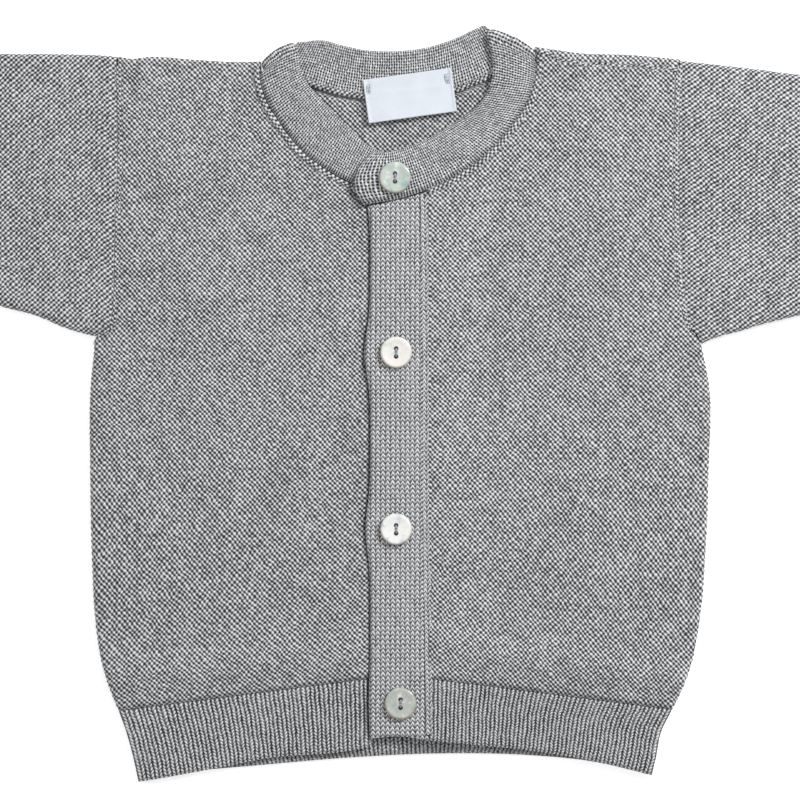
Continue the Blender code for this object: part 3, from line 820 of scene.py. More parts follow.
# Rims of the shells: outset, share of the thickness, distance along the cloth
FRONT_RIM = ((0.42, 0.30, 0.5), (0.50, 0.62, 1.1), (0.20, 0.92, 1.8), (-0.5, 1.0, 2.4))
HEM_RIM = ((0.35, 0.30, 0.5), (0.42, 0.62, 1.1), (0.15, 0.92, 1.8), (-0.5, 1.0, 2.4))
BACK_RIM = ((0.3, 0.30, 0.5), (0.4, 0.62, 1.1), (0.2, 0.9, 1.8), (-0.4, 1.0, 2.4))
UNDER_RIM = ((0.3, 0.4, 0.6), (0.3, 0.8, 1.2), (-0.4, 1.0, 2.0))


def front_base(x, y, side):
    """Underside of a front, as the CAD solid has it."""
    rib = -98.0 - 13.0 * np.clip(np.abs(x) / 101.5, 0.0, 1.1)
    blouse = 1.3 * fade(y - rib - 10.0, 6.5)
    if side == "right":
        return LAYER + blouse * smoothstep(np.abs(x), 12.0, 20.0)
    climb = smoothstep(36.0 - x, 0.0, 24.0)
    return LAYER + LAYER * climb + blouse


def front_top(x, y, side):
    """Upper face of a front, without its stitches."""
    return front_base(x, y, side) + CLOTH + drape(x, y)


def front_inner(x, y, side):
    """Inner face of a front and its rib: thicker at the side seam."""
    at_side = smoothstep(np.abs(x) - np.abs(body_edge(y, side)), -2.5, -0.5)
    return front_base(x, y, side) - 1.1 * at_side


def front_panel(side):
    sign = SIGNS[side]
    low, high = (9.6, 113.5) if side == "right" else (8.0, 113.2)
    xs = np.sort(np.arange(math.floor(low / HALF) * HALF, high + HALF, HALF / 2.0) * sign)
    x, row = np.meshgrid(xs, BODY_ROWS)
    bumpy = 0.22 * wave(BODY_ROWS / STITCH) * (BODY_ROWS < 118.0)
    ends = (
        row_end(BODY_ROWS, lambda y: body_edge(y, side)) + sign * bumpy,
        row_end(BODY_ROWS, lambda y: neckline(y, side) if sign < 0 else np.maximum(neckline(y, side), band_seam(y))),
    )
    low, high = ends if sign < 0 else ends[::-1]
    x = np.clip(x, low[:, None], high[:, None])
    y, top = row_height(x, row), shoulder(x, side)
    cut = np.maximum(y - top, 0.0)
    xy = columns_of(x, np.minimum(y, top))
    first, faces = merged(xy, grid_faces(*x.shape))
    xy = xy[first]
    px, py = xy.T
    uv = np.column_stack([px, (row - cut).ravel()[first]]) / STITCH + uneven(px, py)
    at_neck = fade(px - neckline(py, side), 2.6) * (py > 76.0)
    at_armhole = fade(px - body_edge(py, side), 1.8) * (py > 24.0)
    z = front_top(px, py, side) + 0.25
    if side == "right":
        beside_band = 1.5 * smoothstep(px - band_free_edge(py), -1.8, 0.4)
        under_tip = 1.3 * smoothstep(-np.hypot(px + 10.0, py - 82.0), -10.5, -8.0)
        z = z - np.maximum(beside_band, under_tip)
    z = z + 0.42 * (garter(*uv.T) - 0.5) - round_off(edge_distance(xy, faces), 1.7, 1.15)
    z = z - 0.5 * at_neck - 0.45 * at_armhole
    sheet, inner = (xy, uv, faces), lambda x, y: front_inner(x, y, side)
    return add_shell(f"front_{side}", "knit", GARTER, sheet, z, inner, FRONT_RIM, 1.0 / STITCH)


def front_hem(side):
    """Rib columns fan from the body's last row down to the hem."""
    start, width, pitch, end = (-10.0, 92.0, 3.34, 0) if side == "right" else (10.7, 88.4, 3.15, -1)
    hem = FRONT_HEM[side]
    count = round(width / pitch)
    share, down = np.meshgrid(np.linspace(0, 1, count * 8 + 1), np.linspace(0, 1, 43))
    y_top = row_height(start + (body_edge(-111.6, side) - start) * share, RIB_TOP)
    y_low = along(hem, start + (hem[end][0] - start) * share)
    y = y_top + (y_low - y_top) * down
    x = start + (body_edge(y[:, -1:], side) - start) * share
    sheet, near = grid_sheet(x, y, share * count, down * RIB_LENGTH / RIB_ROW)
    x, y, u, v = (*sheet[0].T, *sheet[1].T)
    z = front_top(x, y, side) + 0.1
    if side == "right":
        z = z - 1.4 * smoothstep(x - band_free_edge(y), -2.0, 0.4)
    z = z + 0.85 * (ribs(u, v, RIB_SLANT) - 0.5) - round_off(near, 1.6, 1.1)
    z = z - 0.5 * fade(v * RIB_ROW, 1.5) + 0.35 * fade(RIB_LENGTH - v * RIB_ROW, 2.6)
    return add_shell(
        f"hem_front_{side}", "rib", RIB, sheet, z, lambda x, y: front_inner(x, y, side), HEM_RIM, RIB_PER_MM
    )


def back_panel():
    x, row = np.meshgrid(np.arange(-124, 125) * HALF, BODY_ROWS)
    low = row_end(BODY_ROWS, lambda y: body_edge(y, "right")) + 0.9
    high = row_end(BODY_ROWS, lambda y: body_edge(y, "left")) - 0.9
    x = np.clip(x, low[:, None], high[:, None])
    y = row_height(x, row)
    right, left = shoulder(np.minimum(x, -51.0), "right"), shoulder(np.maximum(x, 49.0), "left")
    top = np.where(x < 0, right, left) - 0.7
    top = np.where(np.abs(x + 0.5) < 51.0, np.minimum(top, along(BACK_NECKLINE, x)), top)
    cut = np.maximum(y - top, 0.0)
    xy = columns_of(x, y - cut)
    first, faces = merged(xy, grid_faces(*x.shape))
    xy = xy[first]
    uv = np.column_stack([xy[:, 0], (row - cut).ravel()[first]]) / STITCH
    z = 0.28 - 0.36 * (garter(*uv.T) - 0.5) + round_off(edge_distance(xy, faces), 1.2, 0.8)
    shows = [
        (px, py)
        for px in np.arange(-104, 105) * HALF / 2.0
        for py in np.arange(84, 136) * HALF
        if abs(px) < 48.0 and py < float(along(BACK_NECKLINE, px)) - 0.4
    ]

    def inner(x, y):
        stitches = 0.36 * (garter(x / STITCH, y / STITCH) - 0.5)
        below_band = fade(along(BACK_NECKLINE, x) - y - 0.8, 1.3) * (y > 100.0)
        return CLOTH - 0.15 + stitches * (y > 70.0) - 0.8 * below_band

    sheet = (xy, uv, faces)
    return add_shell("back", "knit", GARTER, sheet, z, inner, BACK_RIM, 1.0 / STITCH, 7.0, shows, down=True)


def back_hem():
    count = round(203.0 / 3.25)

    def ends(share):
        """Where the rib columns start and end, from their share of the width."""
        return row_height(-101.0 + 199.0 * share, RIB_TOP), along(BACK_HEM, -94.6 + 185.0 * share)

    def stitches_at(x, y):
        first, last = body_edge(y, "right") + 0.9, body_edge(y, "left") - 0.9
        share = (x - first) / (last - first)
        start, end = ends(share)
        return np.column_stack([share * count, (y - start) / (end - start) * RIB_LENGTH / RIB_ROW])

    def inner(x, y):
        stitches = 0.8 * (ribs(*stitches_at(x, y).T, RIB_SLANT) - 0.5) * (y < -116.0)
        return CLOTH - 0.25 + stitches - 0.3 * fade(y - along(BACK_HEM, x), 0.9)

    share, down = np.meshgrid(np.linspace(0, 1, count * 6 + 1), np.linspace(0, 1, 30))
    y_top, y_low = ends(share)
    y = y_top + (y_low - y_top) * down
    right, left = body_edge(y[:, :1], "right") + 0.9, body_edge(y[:, -1:], "left") - 0.9
    sheet, near = grid_sheet(right + (left - right) * share, y, share * count, down * RIB_LENGTH / RIB_ROW)
    z = 0.45 - 0.6 * (ribs(*sheet[1].T, RIB_SLANT) - 0.5) + round_off(near, 1.2, 0.7)
    shows = [
        (px, py)
        for px in np.arange(-34.0, 52.0, 0.36)
        for py in np.arange(-132.0, -120.0, 0.36)
        if py > float(along(BACK_HEM, px)) + 0.9
    ]
    return add_shell(
        "hem_back", "rib", RIB, sheet, z, inner, BACK_RIM, RIB_PER_MM, 7.0, shows, stitches_at, down=True
    )


# ---------------------------------------------------------------- placket


def level(height):
    return lambda x, y: np.full_like(x, height)


def top_band():
    course = 1.66
    share, up = np.meshgrid(np.linspace(0, 1, 48), np.linspace(0, 1, 457))
    bow = 0.9 * np.sin(np.pi * np.clip(share * 1.15, 0.0, 1.0)) - 0.8 * smoothstep(share, 0.75, 1.0)
    bottom, top = BAND_BOTTOM_Y + bow, 71.8 + 4.8 * share
    y = bottom + (top - bottom) * up
    left, right = band_free_edge(y), band_seam(y)
    x = left + (right - left) * share
    sheet, near = grid_sheet(x, y, x / WALE, y / course)
    x, y = sheet[0].T
    left, right = band_free_edge(y), band_seam(y)
    near = np.where((x > right - 3.0) & (y > BAND_BOTTOM_Y + 2.0), 3.0, near)
    puff = 0.55 * (1.0 - ((x - (left + right) / 2.0) / ((right - left) / 2.0)) ** 2)
    dimple = sum(0.75 * np.exp(-(((x - b[1]) ** 2 + (y - b[2]) ** 2) / 60.0)) for b in BUTTONS)
    lift = sum(0.8 * fade(y - b[2], 8.0) * smoothstep(-(x + 7.0), 0.0, 5.0) for b in BUTTONS[1:])
    waves = 0.16 * np.sin(y / 6.1 + 0.7 * np.sin(y / 17.0)) * smoothstep(-x, -4.0, 9.0)
    relief = 0.5 * (plain_knit(*sheet[1].T, BAND_SLANT) - 0.5)
    z = 2 * LAYER + 2.2 + puff - dimple + lift + waves + relief - round_off(near, 1.7, 1.2)
    return add_shell("band_top", "knit", BAND, sheet, z, level(2 * LAYER), FRONT_RIM, 1.0 / WALE, 4.0)


def under_band():
    course = 1.75
    share, up = np.meshgrid(np.linspace(0, 1, 22), np.linspace(0, 1, 220))
    x, y = -9.6 + 18.8 * share, -121.0 + 194.4 * up
    sheet, near = grid_sheet(x, y, x / WALE, y / course)
    z = LAYER + CLOTH - 0.1 + 0.3 * (plain_knit(*sheet[1].T, BAND_SLANT) - 0.5) - round_off(near, 1.2, 0.8)
    return add_shell("band_under", "knit", BAND, sheet, z, level(LAYER), UNDER_RIM, 1.0 / WALE, 6.0)


# ---------------------------------------------------------------- sleeves and cuffs


def tube_section(distance, half_turn):
    """Place on a pressed tube, from the distance round it from the middle of its top fold: how far
    down from the top edge, and height. Distances past zero run over the upper side."""
    radius = TUBE_HEIGHT / 2.0
    quarter = radius * math.pi / 2.0
    size = np.abs(distance)
    straight = half_turn - 2.0 * quarter
    angle_in = np.clip(size / radius, 0.0, math.pi / 2.0)
    angle_out = np.clip((size - quarter - straight) / radius, 0.0, math.pi / 2.0)
    down = radius * (1.0 - np.cos(angle_in)) + np.clip(size - quarter, 0.0, straight) + radius * np.sin(angle_out)
    rise = radius * np.sin(angle_in) - radius * (1.0 - np.cos(angle_out))
    return down, radius + np.sign(distance) * rise


def half_round(half_width):
    """Half the way round a pressed tube."""
    return 2.0 * half_width - TUBE_HEIGHT + math.pi * TUBE_HEIGHT / 2.0


def stand_proud(down, half_width, z, relief):
    """Relief on a pressed tube: sideways at its folds, and up or down on its faces."""
    radius = TUBE_HEIGHT / 2.0
    level = np.clip(np.abs(z - radius) / radius, 0.0, 1.0)
    sideways = np.where(down < half_width, 1.0, -1.0) * relief * (1.0 - level)
    return sideways, np.where(z >= radius, 1.0, -1.0) * relief * level


def sleeve(side):
    sign = SIGNS[side]
    u_pitch, v_pitch, start = (1.96, 1.86, 99.8) if side == "right" else (2.05, 1.75, 97.6)
    out = np.append(np.arange(start, SLEEVE_END + 0.01, u_pitch / 4.0)[:-1], SLEEVE_END)
    most = math.ceil(112.0 / v_pitch * 2)
    turns, axis = np.meshgrid(np.arange(-most, most + 1) * v_pitch / 2.0, out)
    x = axis * sign
    for _ in range(8):
        top_y, low_y = along(SLEEVES[side], x, 1), along(SLEEVES[side], x, 2)
        half = (top_y - low_y) / 2.0
        half_turn = half_round(half)
        distance = np.clip(turns, -half_turn, half_turn)
        down, z = tube_section(distance, half_turn)
        y = top_y - down
        seam = np.abs(body_edge(y, side)) + 0.25
        away = seam + (SLEEVE_END - seam) * ((axis - start) / (SLEEVE_END - start))
        x = sign * away
    wander = uneven(away, distance)
    u, v = away / u_pitch + wander[..., 0], distance / v_pitch + wander[..., 1]
    tuck = smoothstep(axis, SLEEVE_END - 1.8, SLEEVE_END)
    relief = 0.46 * (garter(sign * v, u) - 0.5) * (1.0 - tuck) - 1.0 * tuck
    sideways, rise = stand_proud(down, half, z, relief)
    soft = drape(x, y) * np.clip((246.0 - away) / 20.0, 0.0, 1.0) + 0.25 - 0.55 * fade(away - seam, 1.8)
    z = np.maximum(z + rise + smoothstep(z, TUBE_HEIGHT * 0.5, TUBE_HEIGHT) * soft, 0.02)
    points = columns_of(x, y + sideways, z)
    first, faces = merged(points, grid_faces(*x.shape))
    if sign > 0:
        faces = [face[::-1] for face in faces]
    uv = columns_of(sign * v, u)[first]
    return add_piece(
        f"sleeve_{side}_knit", points[first], faces, uv, GARTER, f"sleeve_{side}", outward=True, join=0.02
    )


def cuff(side):
    """A ribbed tube that hides its raw start inside the sleeve's end."""
    (x0, top0, low0), (x1, top1, low1) = SLEEVES[side][-2:]
    slope = ((top1 + low1) - (top0 + low0)) / 2.0 / abs(x1 - x0)
    start, end = [-1.2, -0.4, 0.3], [CUFF_LENGTH - 0.35, CUFF_LENGTH]
    turn, axis = np.meshgrid(
        np.linspace(-1.0, 1.0, CUFF_RIBS * 6 + 1)[:-1],
        np.concatenate([start, np.arange(0.9, CUFF_LENGTH - 0.5, 0.66), end]),
    )
    middle = (top1 + low1) / 2.0 + slope * axis
    half = (top1 - low1) / 2.0 - 1.6 * smoothstep(axis, -1.0, 2.0) - 1.5 * axis / CUFF_LENGTH
    half_turn = half_round(half)
    down, z = tube_section(turn * half_turn, half_turn)
    u, v = turn * CUFF_RIBS / 2.0, axis / RIB_ROW
    tuck = smoothstep(axis, CUFF_LENGTH - 1.2, CUFF_LENGTH)
    relief = 0.8 * (ribs(u, v, RIB_SLANT) - 0.5) * (1.0 - tuck) - 0.5 * tuck
    sideways, rise = stand_proud(down, half, z, relief)
    x, z = SIGNS[side] * (SLEEVE_END + axis), np.maximum(z + rise, 0.02)
    outer = columns_of(x, middle + half - down + sideways, z)
    centre = columns_of(x, middle, np.full(x.shape, TUBE_HEIGHT / 2.0))
    shrink = columns_of(np.ones(x.shape), (half - 1.5) / half, np.full(x.shape, 0.22))
    lining = centre + (outer - centre) * shrink
    rows, columns = x.shape
    size = rows * columns
    faces = tube_faces(rows, columns, ends=False)
    faces += [[size + k for k in reversed(face)] for face in faces]
    for first, order in ((0, 1), (size - columns, -1)):
        ring = np.arange(first, first + columns)
        ahead = np.roll(ring, -1)
        faces += np.stack([ahead, ring, ring + size, ahead + size], 1)[:, ::order].tolist()
    uv = columns_of(u, v)
    points = np.vstack([outer, lining])
    return add_piece(f"cuff_{side}_rib", points, faces, np.vstack([uv, uv]), RIB, f"cuff_{side}", outward=True)


# ---------------------------------------------------------------- neckband


def beyond(fold):
    """Direction square to a shoulder fold, away from the body."""
    away = np.array((fold[1] - fold[3], fold[2] - fold[0]))
    return away * math.copysign(1.0, away[1]) / np.linalg.norm(away)


def fold_stations(fold):
    """The strip turning over at a shoulder, from the fronts' height down to the back's."""
    stations = []
    for angle in np.linspace(0.0, math.pi, FOLD_PARTS + 1):
        shift = beyond(fold) * FOLD_RADIUS * math.sin(angle)
        height = RIGHT_NECK[-1][4] - FOLD_RADIUS * (1.0 - math.cos(angle))
        stations.append((*(fold[:2] + shift), *(fold[2:] + shift), height))
    return stations


def neck_section():
    """Once round the doubled strip, as shares of its width, heights, and distances in millimetres:
    the upper layer out to the rim, its bend, the lower layer back, its bend."""
    straight, bend, span, half = 34, 6, 16.0, NECKBAND_HALF
    end = half / span
    turn = np.linspace(-0.5, 0.5, bend + 2)[1:-1] * math.pi
    out = end + np.linspace(0.0, 1.0, straight) * (1 - 2 * end)
    w = np.concatenate([out, 1 - end + end * np.cos(turn), 1 - out, end - end * np.cos(turn)])
    level = np.full(straight, half)
    h = np.concatenate([level, -half * np.sin(turn), -level, half * np.sin(turn)])
    return w, h, distance_along(np.column_stack([w * span, h]))


def arch(share, margin, power):
    """Rises from nothing at one edge of the strip to one at its middle, and falls again."""
    return np.sin(np.pi * np.clip(share, margin, 1.0 - margin)) ** power


def neckband():
    stations = np.array(
        [*RIGHT_NECK, *fold_stations(RIGHT_FOLD), *BACK_NECK, *fold_stations(LEFT_FOLD)[::-1], *LEFT_NECK]
    )
    seam, rim = stations[:, [0, 1, 4]], stations[:, [2, 3, 4]]
    at = distance_along((seam + rim) / 2.0, 0.25)
    t = np.linspace(0.0, at[-1], int(at[-1] / (WALE / 4.4)) + 1)
    seam, rim = (np.column_stack([curve(t, at, line[:, k]) for k in range(3)]) for line in (seam, rim))
    middle = (seam + rim) / 2.0
    width = np.linalg.norm(rim - seam, axis=1, keepdims=True)
    across = (rim - seam) / width
    outside = -unit(np.cross(unit(np.gradient(middle, axis=0)), across))
    w, h, run = neck_section()
    u, v = np.meshgrid(t / WALE, run, indexing="ij")
    w, h = np.broadcast_to(w, u.shape), np.broadcast_to(h, u.shape)
    puff = 0.75 * arch(w, 0.0, 0.8) * (h > 0.5) * (outside[:, 2:] > 0.3)
    inside_lip = 0.35 * fade(w - 0.93, 0.10) * (h < -0.5)
    relief = 0.24 * (fine_knit(u, v) - 0.5)
    level = np.abs(h) / NECKBAND_HALF
    lift = h + (puff + relief) * level * (h > 0) - (relief + inside_lip) * level * (h < 0)
    edge_out = np.where(w > 0.5, 1.0, -1.0) * (1.0 - level) * (relief + 0.1)
    points = seam[:, None] + across[:, None] * (w[..., None] * width[:, None] + edge_out[..., None])
    points = points + outside[:, None] * lift[..., None]
    for fold in (RIGHT_FOLD, LEFT_FOLD):
        centre = (np.array(fold[:2]) + fold[2:]) / 2.0
        swell = 0.9 * fade(np.linalg.norm(middle[:, :2] - centre, axis=1), 4.2)
        points[..., :2] += (swell[:, None] * arch(w, 0.03, 0.7))[..., None] * beyond(fold)
    tip = t[-1] - t[:, None]
    points[..., 0] -= TOP_END_BULGE * arch(w, 0.02, 0.8) * smoothstep(tip, 11.0, 0.0)
    flatten = np.sqrt(np.clip(1.0 - (1.0 - np.clip(tip / 1.4, 0.0, 1.0)) ** 2, 0.02, 1.0))
    rest = middle[:, None, 2]
    points[..., 2] = rest + (points[..., 2] - rest) * flatten
    points, uv = points.reshape(-1, 3), columns_of(u, v)
    first_end, last_end = range(len(run)), range(len(points) - len(run), len(points))
    faces = tube_faces(*u.shape, ends=False) + [list(first_end), list(last_end)[::-1]]
    return add_piece("neckband_knit", points, faces, uv, NECK, "neckband", outward=True)


# ---------------------------------------------------------------- seams and stitching


def chain(name, x, y, z, width, height, pitch, material=GARTER, columns_wide=1.0):
    """A row of chain stitches along a path: a domed ridge of nested V links."""
    path = columns_of(x, y, z)
    at = distance_along(path)
    t = np.arange(0.0, at[-1], pitch / 5.0)
    line = np.column_stack([np.interp(t, at, path[:, k]) for k in range(3)])
    up = np.array((0.0, 0.0, 1.0))
    side = unit(np.cross(unit(np.gradient(line, axis=0)), up))[:, None]
    share, along_t = np.meshgrid(np.linspace(-1.0, 1.0, 9), t)
    dome = np.sqrt(np.clip(1.0 - share * share, 0.0, 1.0))
    column = columns_wide * (0.5 + share / 2.0)
    link = plain_knit(column, along_t / pitch, 0.4)
    swell = 0.88 + 0.14 * wave(along_t / pitch) + 0.08 * np.sin(along_t / 2.9 + 2.0 * np.sin(along_t / 6.7))
    half = share * width / 2.0
    rise = (dome * 0.55 + link * 0.6 * dome) * height
    top = line[:, None] + side * (half * swell)[..., None] + up * rise[..., None]
    under = line[:, None] + side * (half * 0.9)[..., None] - up * (dome * height * 0.4)[..., None]
    ring = np.concatenate([top, under[:, -2:0:-1]], axis=1)
    column = np.concatenate([column, column[:, -2:0:-1]], axis=1)
    uv = columns_of(*np.broadcast_arrays(column, t[:, None] / pitch))
    return add_piece(name, ring.reshape(-1, 3), tube_faces(*ring.shape[:2]), uv, material)


def thread(name, path, radius, material):
    """A twisted sewing thread along a path of (x, y, z)."""
    sides = 8
    path = np.asarray(path, float)
    at = distance_along(path)
    t = np.linspace(0.0, at[-1], max(8, int(at[-1] / 0.18)))
    line = np.column_stack([curve(t, at, path[:, k]) for k in range(3)])
    ahead = unit(np.gradient(line, axis=0))
    side = unit(np.cross(ahead, (0.13, 0.07, 1.0)))
    lift = np.cross(side, ahead)
    turn = math.tau * np.arange(sides) / sides
    size = radius * (1.0 + 0.16 * np.cos(2 * turn + t[:, None] * 5.0))
    size[[0, -1]] *= 0.5
    round_it = side[:, None] * np.cos(turn)[:, None] + lift[:, None] * np.sin(turn)[:, None]
    points = line[:, None] + round_it * size[..., None]
    uv = columns_of(*np.broadcast_arrays(turn / math.pi, t[:, None] * 0.4))
    return add_piece(name, points.reshape(-1, 3), tube_faces(len(t), sides), uv, material)


def seams():
    for side, low, high, away in (("right", 79.5, 122.6, 1.5), ("left", 78.4, 124.6, 1.1)):
        y = np.linspace(low, high, 120)
        slope = np.gradient(neckline(y, side), y)
        away = away / np.sqrt(1.0 + slope**2)
        x, y = neckline(y, side) + away * SIGNS[side], y - away * np.abs(slope)
        chain(f"neck_seam_{side}", x, y, front_top(x, y, side) + 0.05, 2.6, 0.95, 1.9, columns_wide=1.3)
        y = np.linspace(27.5, 124.0, 160)
        x = body_edge(y, side) - SIGNS[side] * 0.3
        chain(f"armhole_seam_{side}", x, y, front_top(x, y, side) - 0.50, 2.6, 0.55, 1.8, columns_wide=1.4)
    x = np.linspace(50.8, 102.0, 90)
    y = shoulder(x, "left") - 1.6 - 2.0 * smoothstep(x, 50.0, 66.0) + 0.45 * np.sin(x / 1.9 + np.sin(x / 5.0))
    chain("shoulder_seam_left", x, y, front_top(x, y, "left") - 0.15, 2.2, 0.75, 2.1, columns_wide=1.2)
    y = np.linspace(-120.5, 76.0, 240)
    chain("band_seam", band_seam(y) + 0.05, y, np.full_like(y, 2 * LAYER + 2.35), 2.9, 0.5, 1.66, BAND, 1.6)
    x = np.linspace(-46.0, 42.0, 150)
    y = along(BACK_NECKLINE, x) + 0.7
    chain("back_neck_seam", x, y, np.full_like(x, 2.35), 2.4, 0.8, 1.8, columns_wide=1.2)


def buttonhole_ends(name, x, y, seat, turn):
    """The stitches that show at the two ends of a buttonhole."""
    angle = math.radians(turn)
    t = np.linspace(5.2, 7.1, 12)
    for sign, end in ((-1.0, "low"), (1.0, "high")):
        px, py = x + math.cos(angle) * sign * t, y + math.sin(angle) * sign * t
        path = np.column_stack([px, py, seat - 0.2 - 0.15 * (t - 6.1) ** 2])
        thread(f"{name}_hole_{end}", path, 0.38, LILAC_THREAD)


def on_label(px, py):
    """Place in the frame of a point on the label, from its middle."""
    turn = math.radians(LABEL_TURN)
    x = LABEL_CENTRE[0] + px * math.cos(turn) - py * math.sin(turn)
    return x, LABEL_CENTRE[1] + px * math.sin(turn) + py * math.cos(turn)


def label():
    width, height = LABEL_SIZE
    columns, rows = 66, 34
    a, b = np.meshgrid(np.linspace(-0.5, 0.5, columns), np.linspace(-0.5, 0.5, rows))
    x, y = on_label(a * width, b * height)
    loose = np.clip(0.5 - b, 0.0, 1.0) ** 1.6
    lift = 1.5 * loose * (0.75 + 0.25 * np.cos(a * 5.0 + 0.6)) + 0.18 * np.sin(a * 9.0) * loose
    seam = 0.10 * fade(b - 0.12, 0.07)
    pinch = sum(-0.35 * fade(a - side, 0.03) * fade(b - 0.36, 0.10) for side in (-0.455, 0.455))
    hem = np.abs(a) > 0.47
    z = 3.1 + lift + seam + pinch + 0.1 * hem
    sheet = grid_faces(rows, columns).tolist()
    size = rows * columns
    ring = border_loop(sheet)
    faces = sheet + [[size + k for k in reversed(face)] for face in sheet]
    faces += [[p, size + p, size + before, before] for before, p in zip([ring[-1], *ring], ring)]
    points = np.vstack([columns_of(x, y, z + 0.35 + 0.2 * hem), columns_of(x, y, z)])
    uv = columns_of(a * width / 0.5, b * height / 0.5)
    item = add_piece("label_satin_piece", points, faces, np.vstack([uv, uv]), SATIN, "label", outward=True)
    q = np.linspace(-1.0, 1.0, 7)
    for k, (start, lean) in enumerate(((-14.6, 0.5), (14.4, -0.5))):
        for j in range(3):
            x, y = on_label(start + j * 0.55 - 0.5 + lean * q * 0.4, 4.2 + q * 1.9)
            path = np.column_stack([x, y, 3.62 + 0.3 * (1.0 - q * q)])
            thread(f"label_tack_{k + 1}_{j + 1}", path, 0.17, WHITE_THREAD)
    return item


# ---------------------------------------------------------------- buttons

BUTTON_STEPS = 80
HOLE_OFFSET = 1.45
HOLE_RADIUS = 0.85
BUTTON_TOP = 1.56
BUTTON_PROFILE = (
    # radius, height from the dished face over the rim to the underside
    *((1.2, 1.57), (2.4, 1.60), (3.1, 1.66), (3.6, 1.74), (4.0, 1.84), (4.4, 1.94), (4.85, 2.00)),
    *((5.25, 1.97), (5.55, 1.80), (5.75, 1.52), (5.80, 1.15), (5.66, 0.72), (5.35, 0.32), (4.9, 0.08), (4.3, 0.0)),
)


def button(name, x, y, seat, tints):
    """A turned pearl disc: dished face, soft rim, two drilled thread holes."""
    turn = math.tau * np.arange(BUTTON_STEPS) / BUTTON_STEPS
    rings = [columns_of(r * np.cos(turn), r * np.sin(turn), np.full_like(turn, h)) for r, h in BUTTON_PROFILE]
    points = np.vstack([*rings, (0.0, 0.0, BUTTON_TOP), (0.0, 0.0, 0.0)]) + (x, y, seat)
    faces = tube_faces(len(rings), BUTTON_STEPS, ends=False)
    size = len(rings) * BUTTON_STEPS
    for pole, first in ((size, 0), (size + 1, size - BUTTON_STEPS)):
        faces += [(pole, first + k, first + (k + 1) % BUTTON_STEPS) for k in range(BUTTON_STEPS)]
    disc = bpy.data.meshes.new(f"{name}_disc")
    disc.from_pydata((points * MM).tolist(), [], faces)
    turn_outward(disc)
    drill = bmesh.new()
    radius = HOLE_RADIUS * MM
    for offset in (-HOLE_OFFSET, HOLE_OFFSET):
        placed = bmesh.ops.create_cone(drill, cap_ends=True, segments=28, radius1=radius, radius2=radius, depth=8 * MM)
        bmesh.ops.translate(drill, vec=Vector((x, y + offset, seat)) * MM, verts=placed["verts"])
    drill_mesh = bpy.data.meshes.new(f"{name}_drill")
    drill.to_mesh(drill_mesh)
    drill.free()
    item = bpy.data.objects.new(f"{name}_pearl", disc)
    cutter = bpy.data.objects.new(f"{name}_drill", drill_mesh)
    for made in (item, cutter):
        bpy.context.scene.collection.objects.link(made)
    boolean = item.modifiers.new("holes", "BOOLEAN")
    boolean.object = cutter
    boolean.solver = "EXACT"
    bpy.context.view_layer.update()
    drilled = bpy.data.meshes.new_from_object(item.evaluated_get(bpy.context.evaluated_depsgraph_get()))
    item.modifiers.clear()
    item.data = drilled
    bpy.data.objects.remove(cutter, do_unlink=True)
    drilled.materials.clear()
    drilled.materials.append(pearl_material(f"{name}_pearl", (x, y), tints))
    drilled.shade_smooth()
    drilled.set_sharp_from_angle(angle=math.radians(40.0))
    declare(item, name)


def button_threads(name, x, y, seat):
    q = np.linspace(-1.0, 1.0, 13)
    py = y + HOLE_OFFSET * np.sign(q) * np.abs(q) ** 0.8
    drop = np.maximum(0.0, np.abs(q) - 0.82) / 0.18
    for k, shift in enumerate((-0.24, 0.0, 0.26)):
        path = np.column_stack([x + shift * (1.0 - 0.5 * q * q), py, seat + 1.62 + 0.1 * (k == 1) - drop])
        thread(f"{name}_thread_{k + 1}", path, 0.24, LILAC_THREAD)


# ---------------------------------------------------------------- build

front_right = front_panel("right")
front_left = front_panel("left")
hem_right = front_hem("right")
hem_left = front_hem("left")
back = back_panel()
hem_of_back = back_hem()
sleeve_right = sleeve("right")
sleeve_left = sleeve("left")
cuff_right = cuff("right")
cuff_left = cuff("left")
under = under_band()
placket = top_band()
neck = neckband()
seams()
for name, x, y, seat, turn, *_ in BUTTONS:
    buttonhole_ends(name, x, y, seat, turn)
satin = label()
for name, x, y, seat, _, _, *tints in BUTTONS:
    button(name, x, y, seat, tints)
    button_threads(name, x, y, seat)

# ---------------------------------------------------------------- floor, light, camera

FLOOR_HALF = 6.0
FLOOR_HEIGHT = -0.0002
CAMERA_HEIGHT = 1.6
VIEW_WIDTH = 0.292
CLOTH_HEIGHT = 0.005


def add_floor():
    mesh = bpy.data.meshes.new("floor")
    corners = [(x * FLOOR_HALF, y * FLOOR_HALF, 0.0) for x, y in ((-1, -1), (1, -1), (1, 1), (-1, 1))]
    mesh.from_pydata(corners, [], [(0, 1, 2, 3)])
    shader = Shader("floor_paper")
    grain = shader.noise(shader.place(), 900.0, 3.0, 0.5)
    shader.colour(grain, ((0.0, (0.90, 0.90, 0.90)), (1.0, (0.95, 0.95, 0.95))))
    shader.constants(
        Roughness=0.9, Specular_IOR_Level=0.1, Emission_Color=(1.0, 1.0, 1.0, 1.0), Emission_Strength=0.46
    )
    mesh.materials.append(shader.material)
    floor = bpy.data.objects.new("floor", mesh)
    floor.location.z = FLOOR_HEIGHT
    bpy.context.scene.collection.objects.link(floor)


def add_light(name, place, size, power):
    """A round lamp aimed at the garment's middle."""
    data = bpy.data.lights.new(name, "AREA")
    data.shape = "DISK"
    data.size = size
    data.energy = power
    light = bpy.data.objects.new(name, data)
    light.location = place
    light.rotation_euler = (-Vector(place)).to_track_quat("-Z", "Y").to_euler()
    bpy.context.scene.collection.objects.link(light)


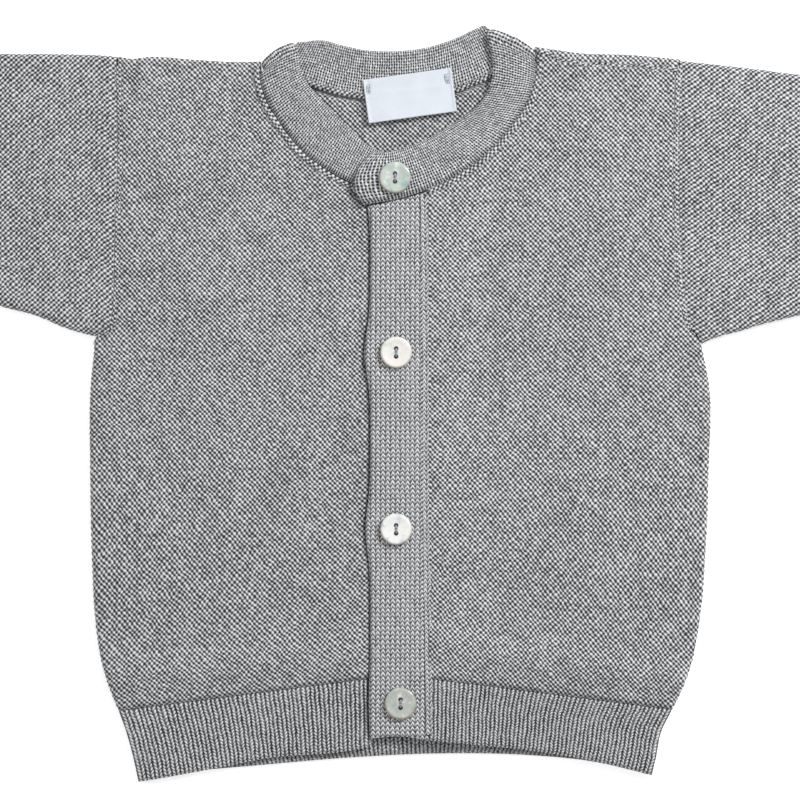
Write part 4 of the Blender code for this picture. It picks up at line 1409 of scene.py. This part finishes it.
def add_camera():
    data = bpy.data.cameras.new("camera")
    data.sensor_width = 36.0
    data.lens = data.sensor_width * (CAMERA_HEIGHT - CLOTH_HEIGHT) / VIEW_WIDTH
    data.clip_start = 0.05
    data.clip_end = 50.0
    camera = bpy.data.objects.new("camera", data)
    camera.location = (0.0, 0.0015, CAMERA_HEIGHT)
    bpy.context.scene.collection.objects.link(camera)
    bpy.context.scene.camera = camera


add_floor()
world = bpy.data.worlds.new("studio")
world.use_nodes = True
world.node_tree.nodes["Background"].inputs["Color"].default_value = (1.0, 1.0, 1.0, 1.0)
world.node_tree.nodes["Background"].inputs["Strength"].default_value = 0.56
bpy.context.scene.world = world
add_light("key", (0.72, 0.62, 0.86), 0.35, 13.5)
add_light("fill", (-0.9, 0.2, 1.2), 1.0, 3.0)
add_camera()
bpy.context.scene.view_settings.view_transform = "Standard"
bpy.context.scene.view_settings.look = "None"

# ---------------------------------------------------------------- cloth facts, only listed

for item, flat, area, rests_on, parts in (
    # piece, flat size, flat area, what it rests on, pieces on it
    (front_right, (0.103, 0.226), 0.0210, ["back"], ["armhole_seam_right", "neck_seam_right"]),
    (front_left, (0.103, 0.226), 0.0210, ["back"], ["armhole_seam_left", "neck_seam_left", "shoulder_seam_left"]),
    (hem_right, (0.092, 0.028), 0.0024, ["hem_back"], []),
    (hem_left, (0.089, 0.026), 0.0023, ["hem_back"], []),
    (back, (0.226, 0.239), 0.0496, ["floor"], ["back_neck_seam"]),
    (hem_of_back, (0.203, 0.030), 0.0058, ["floor"], []),
    (sleeve_right, (0.212, 0.135), 0.0228, ["floor"], []),
    (sleeve_left, (0.212, 0.137), 0.0234, ["floor"], []),
    (cuff_right, (0.124, 0.028), 0.0034, ["floor"], []),
    (cuff_left, (0.120, 0.028), 0.0033, ["floor"], []),
    (under, (0.0188, 0.1944), None, ["front_right"], []),
    (placket, (0.021, 0.199), None, ["band_under"], ["band_seam"]),
    (neck, (0.310, 0.0165), None, ["front_right", "front_left", "back"], []),
    (satin, (0.0325, 0.0161), None, ["back", "neckband"], []),
):
    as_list(rests_on)
    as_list(parts)
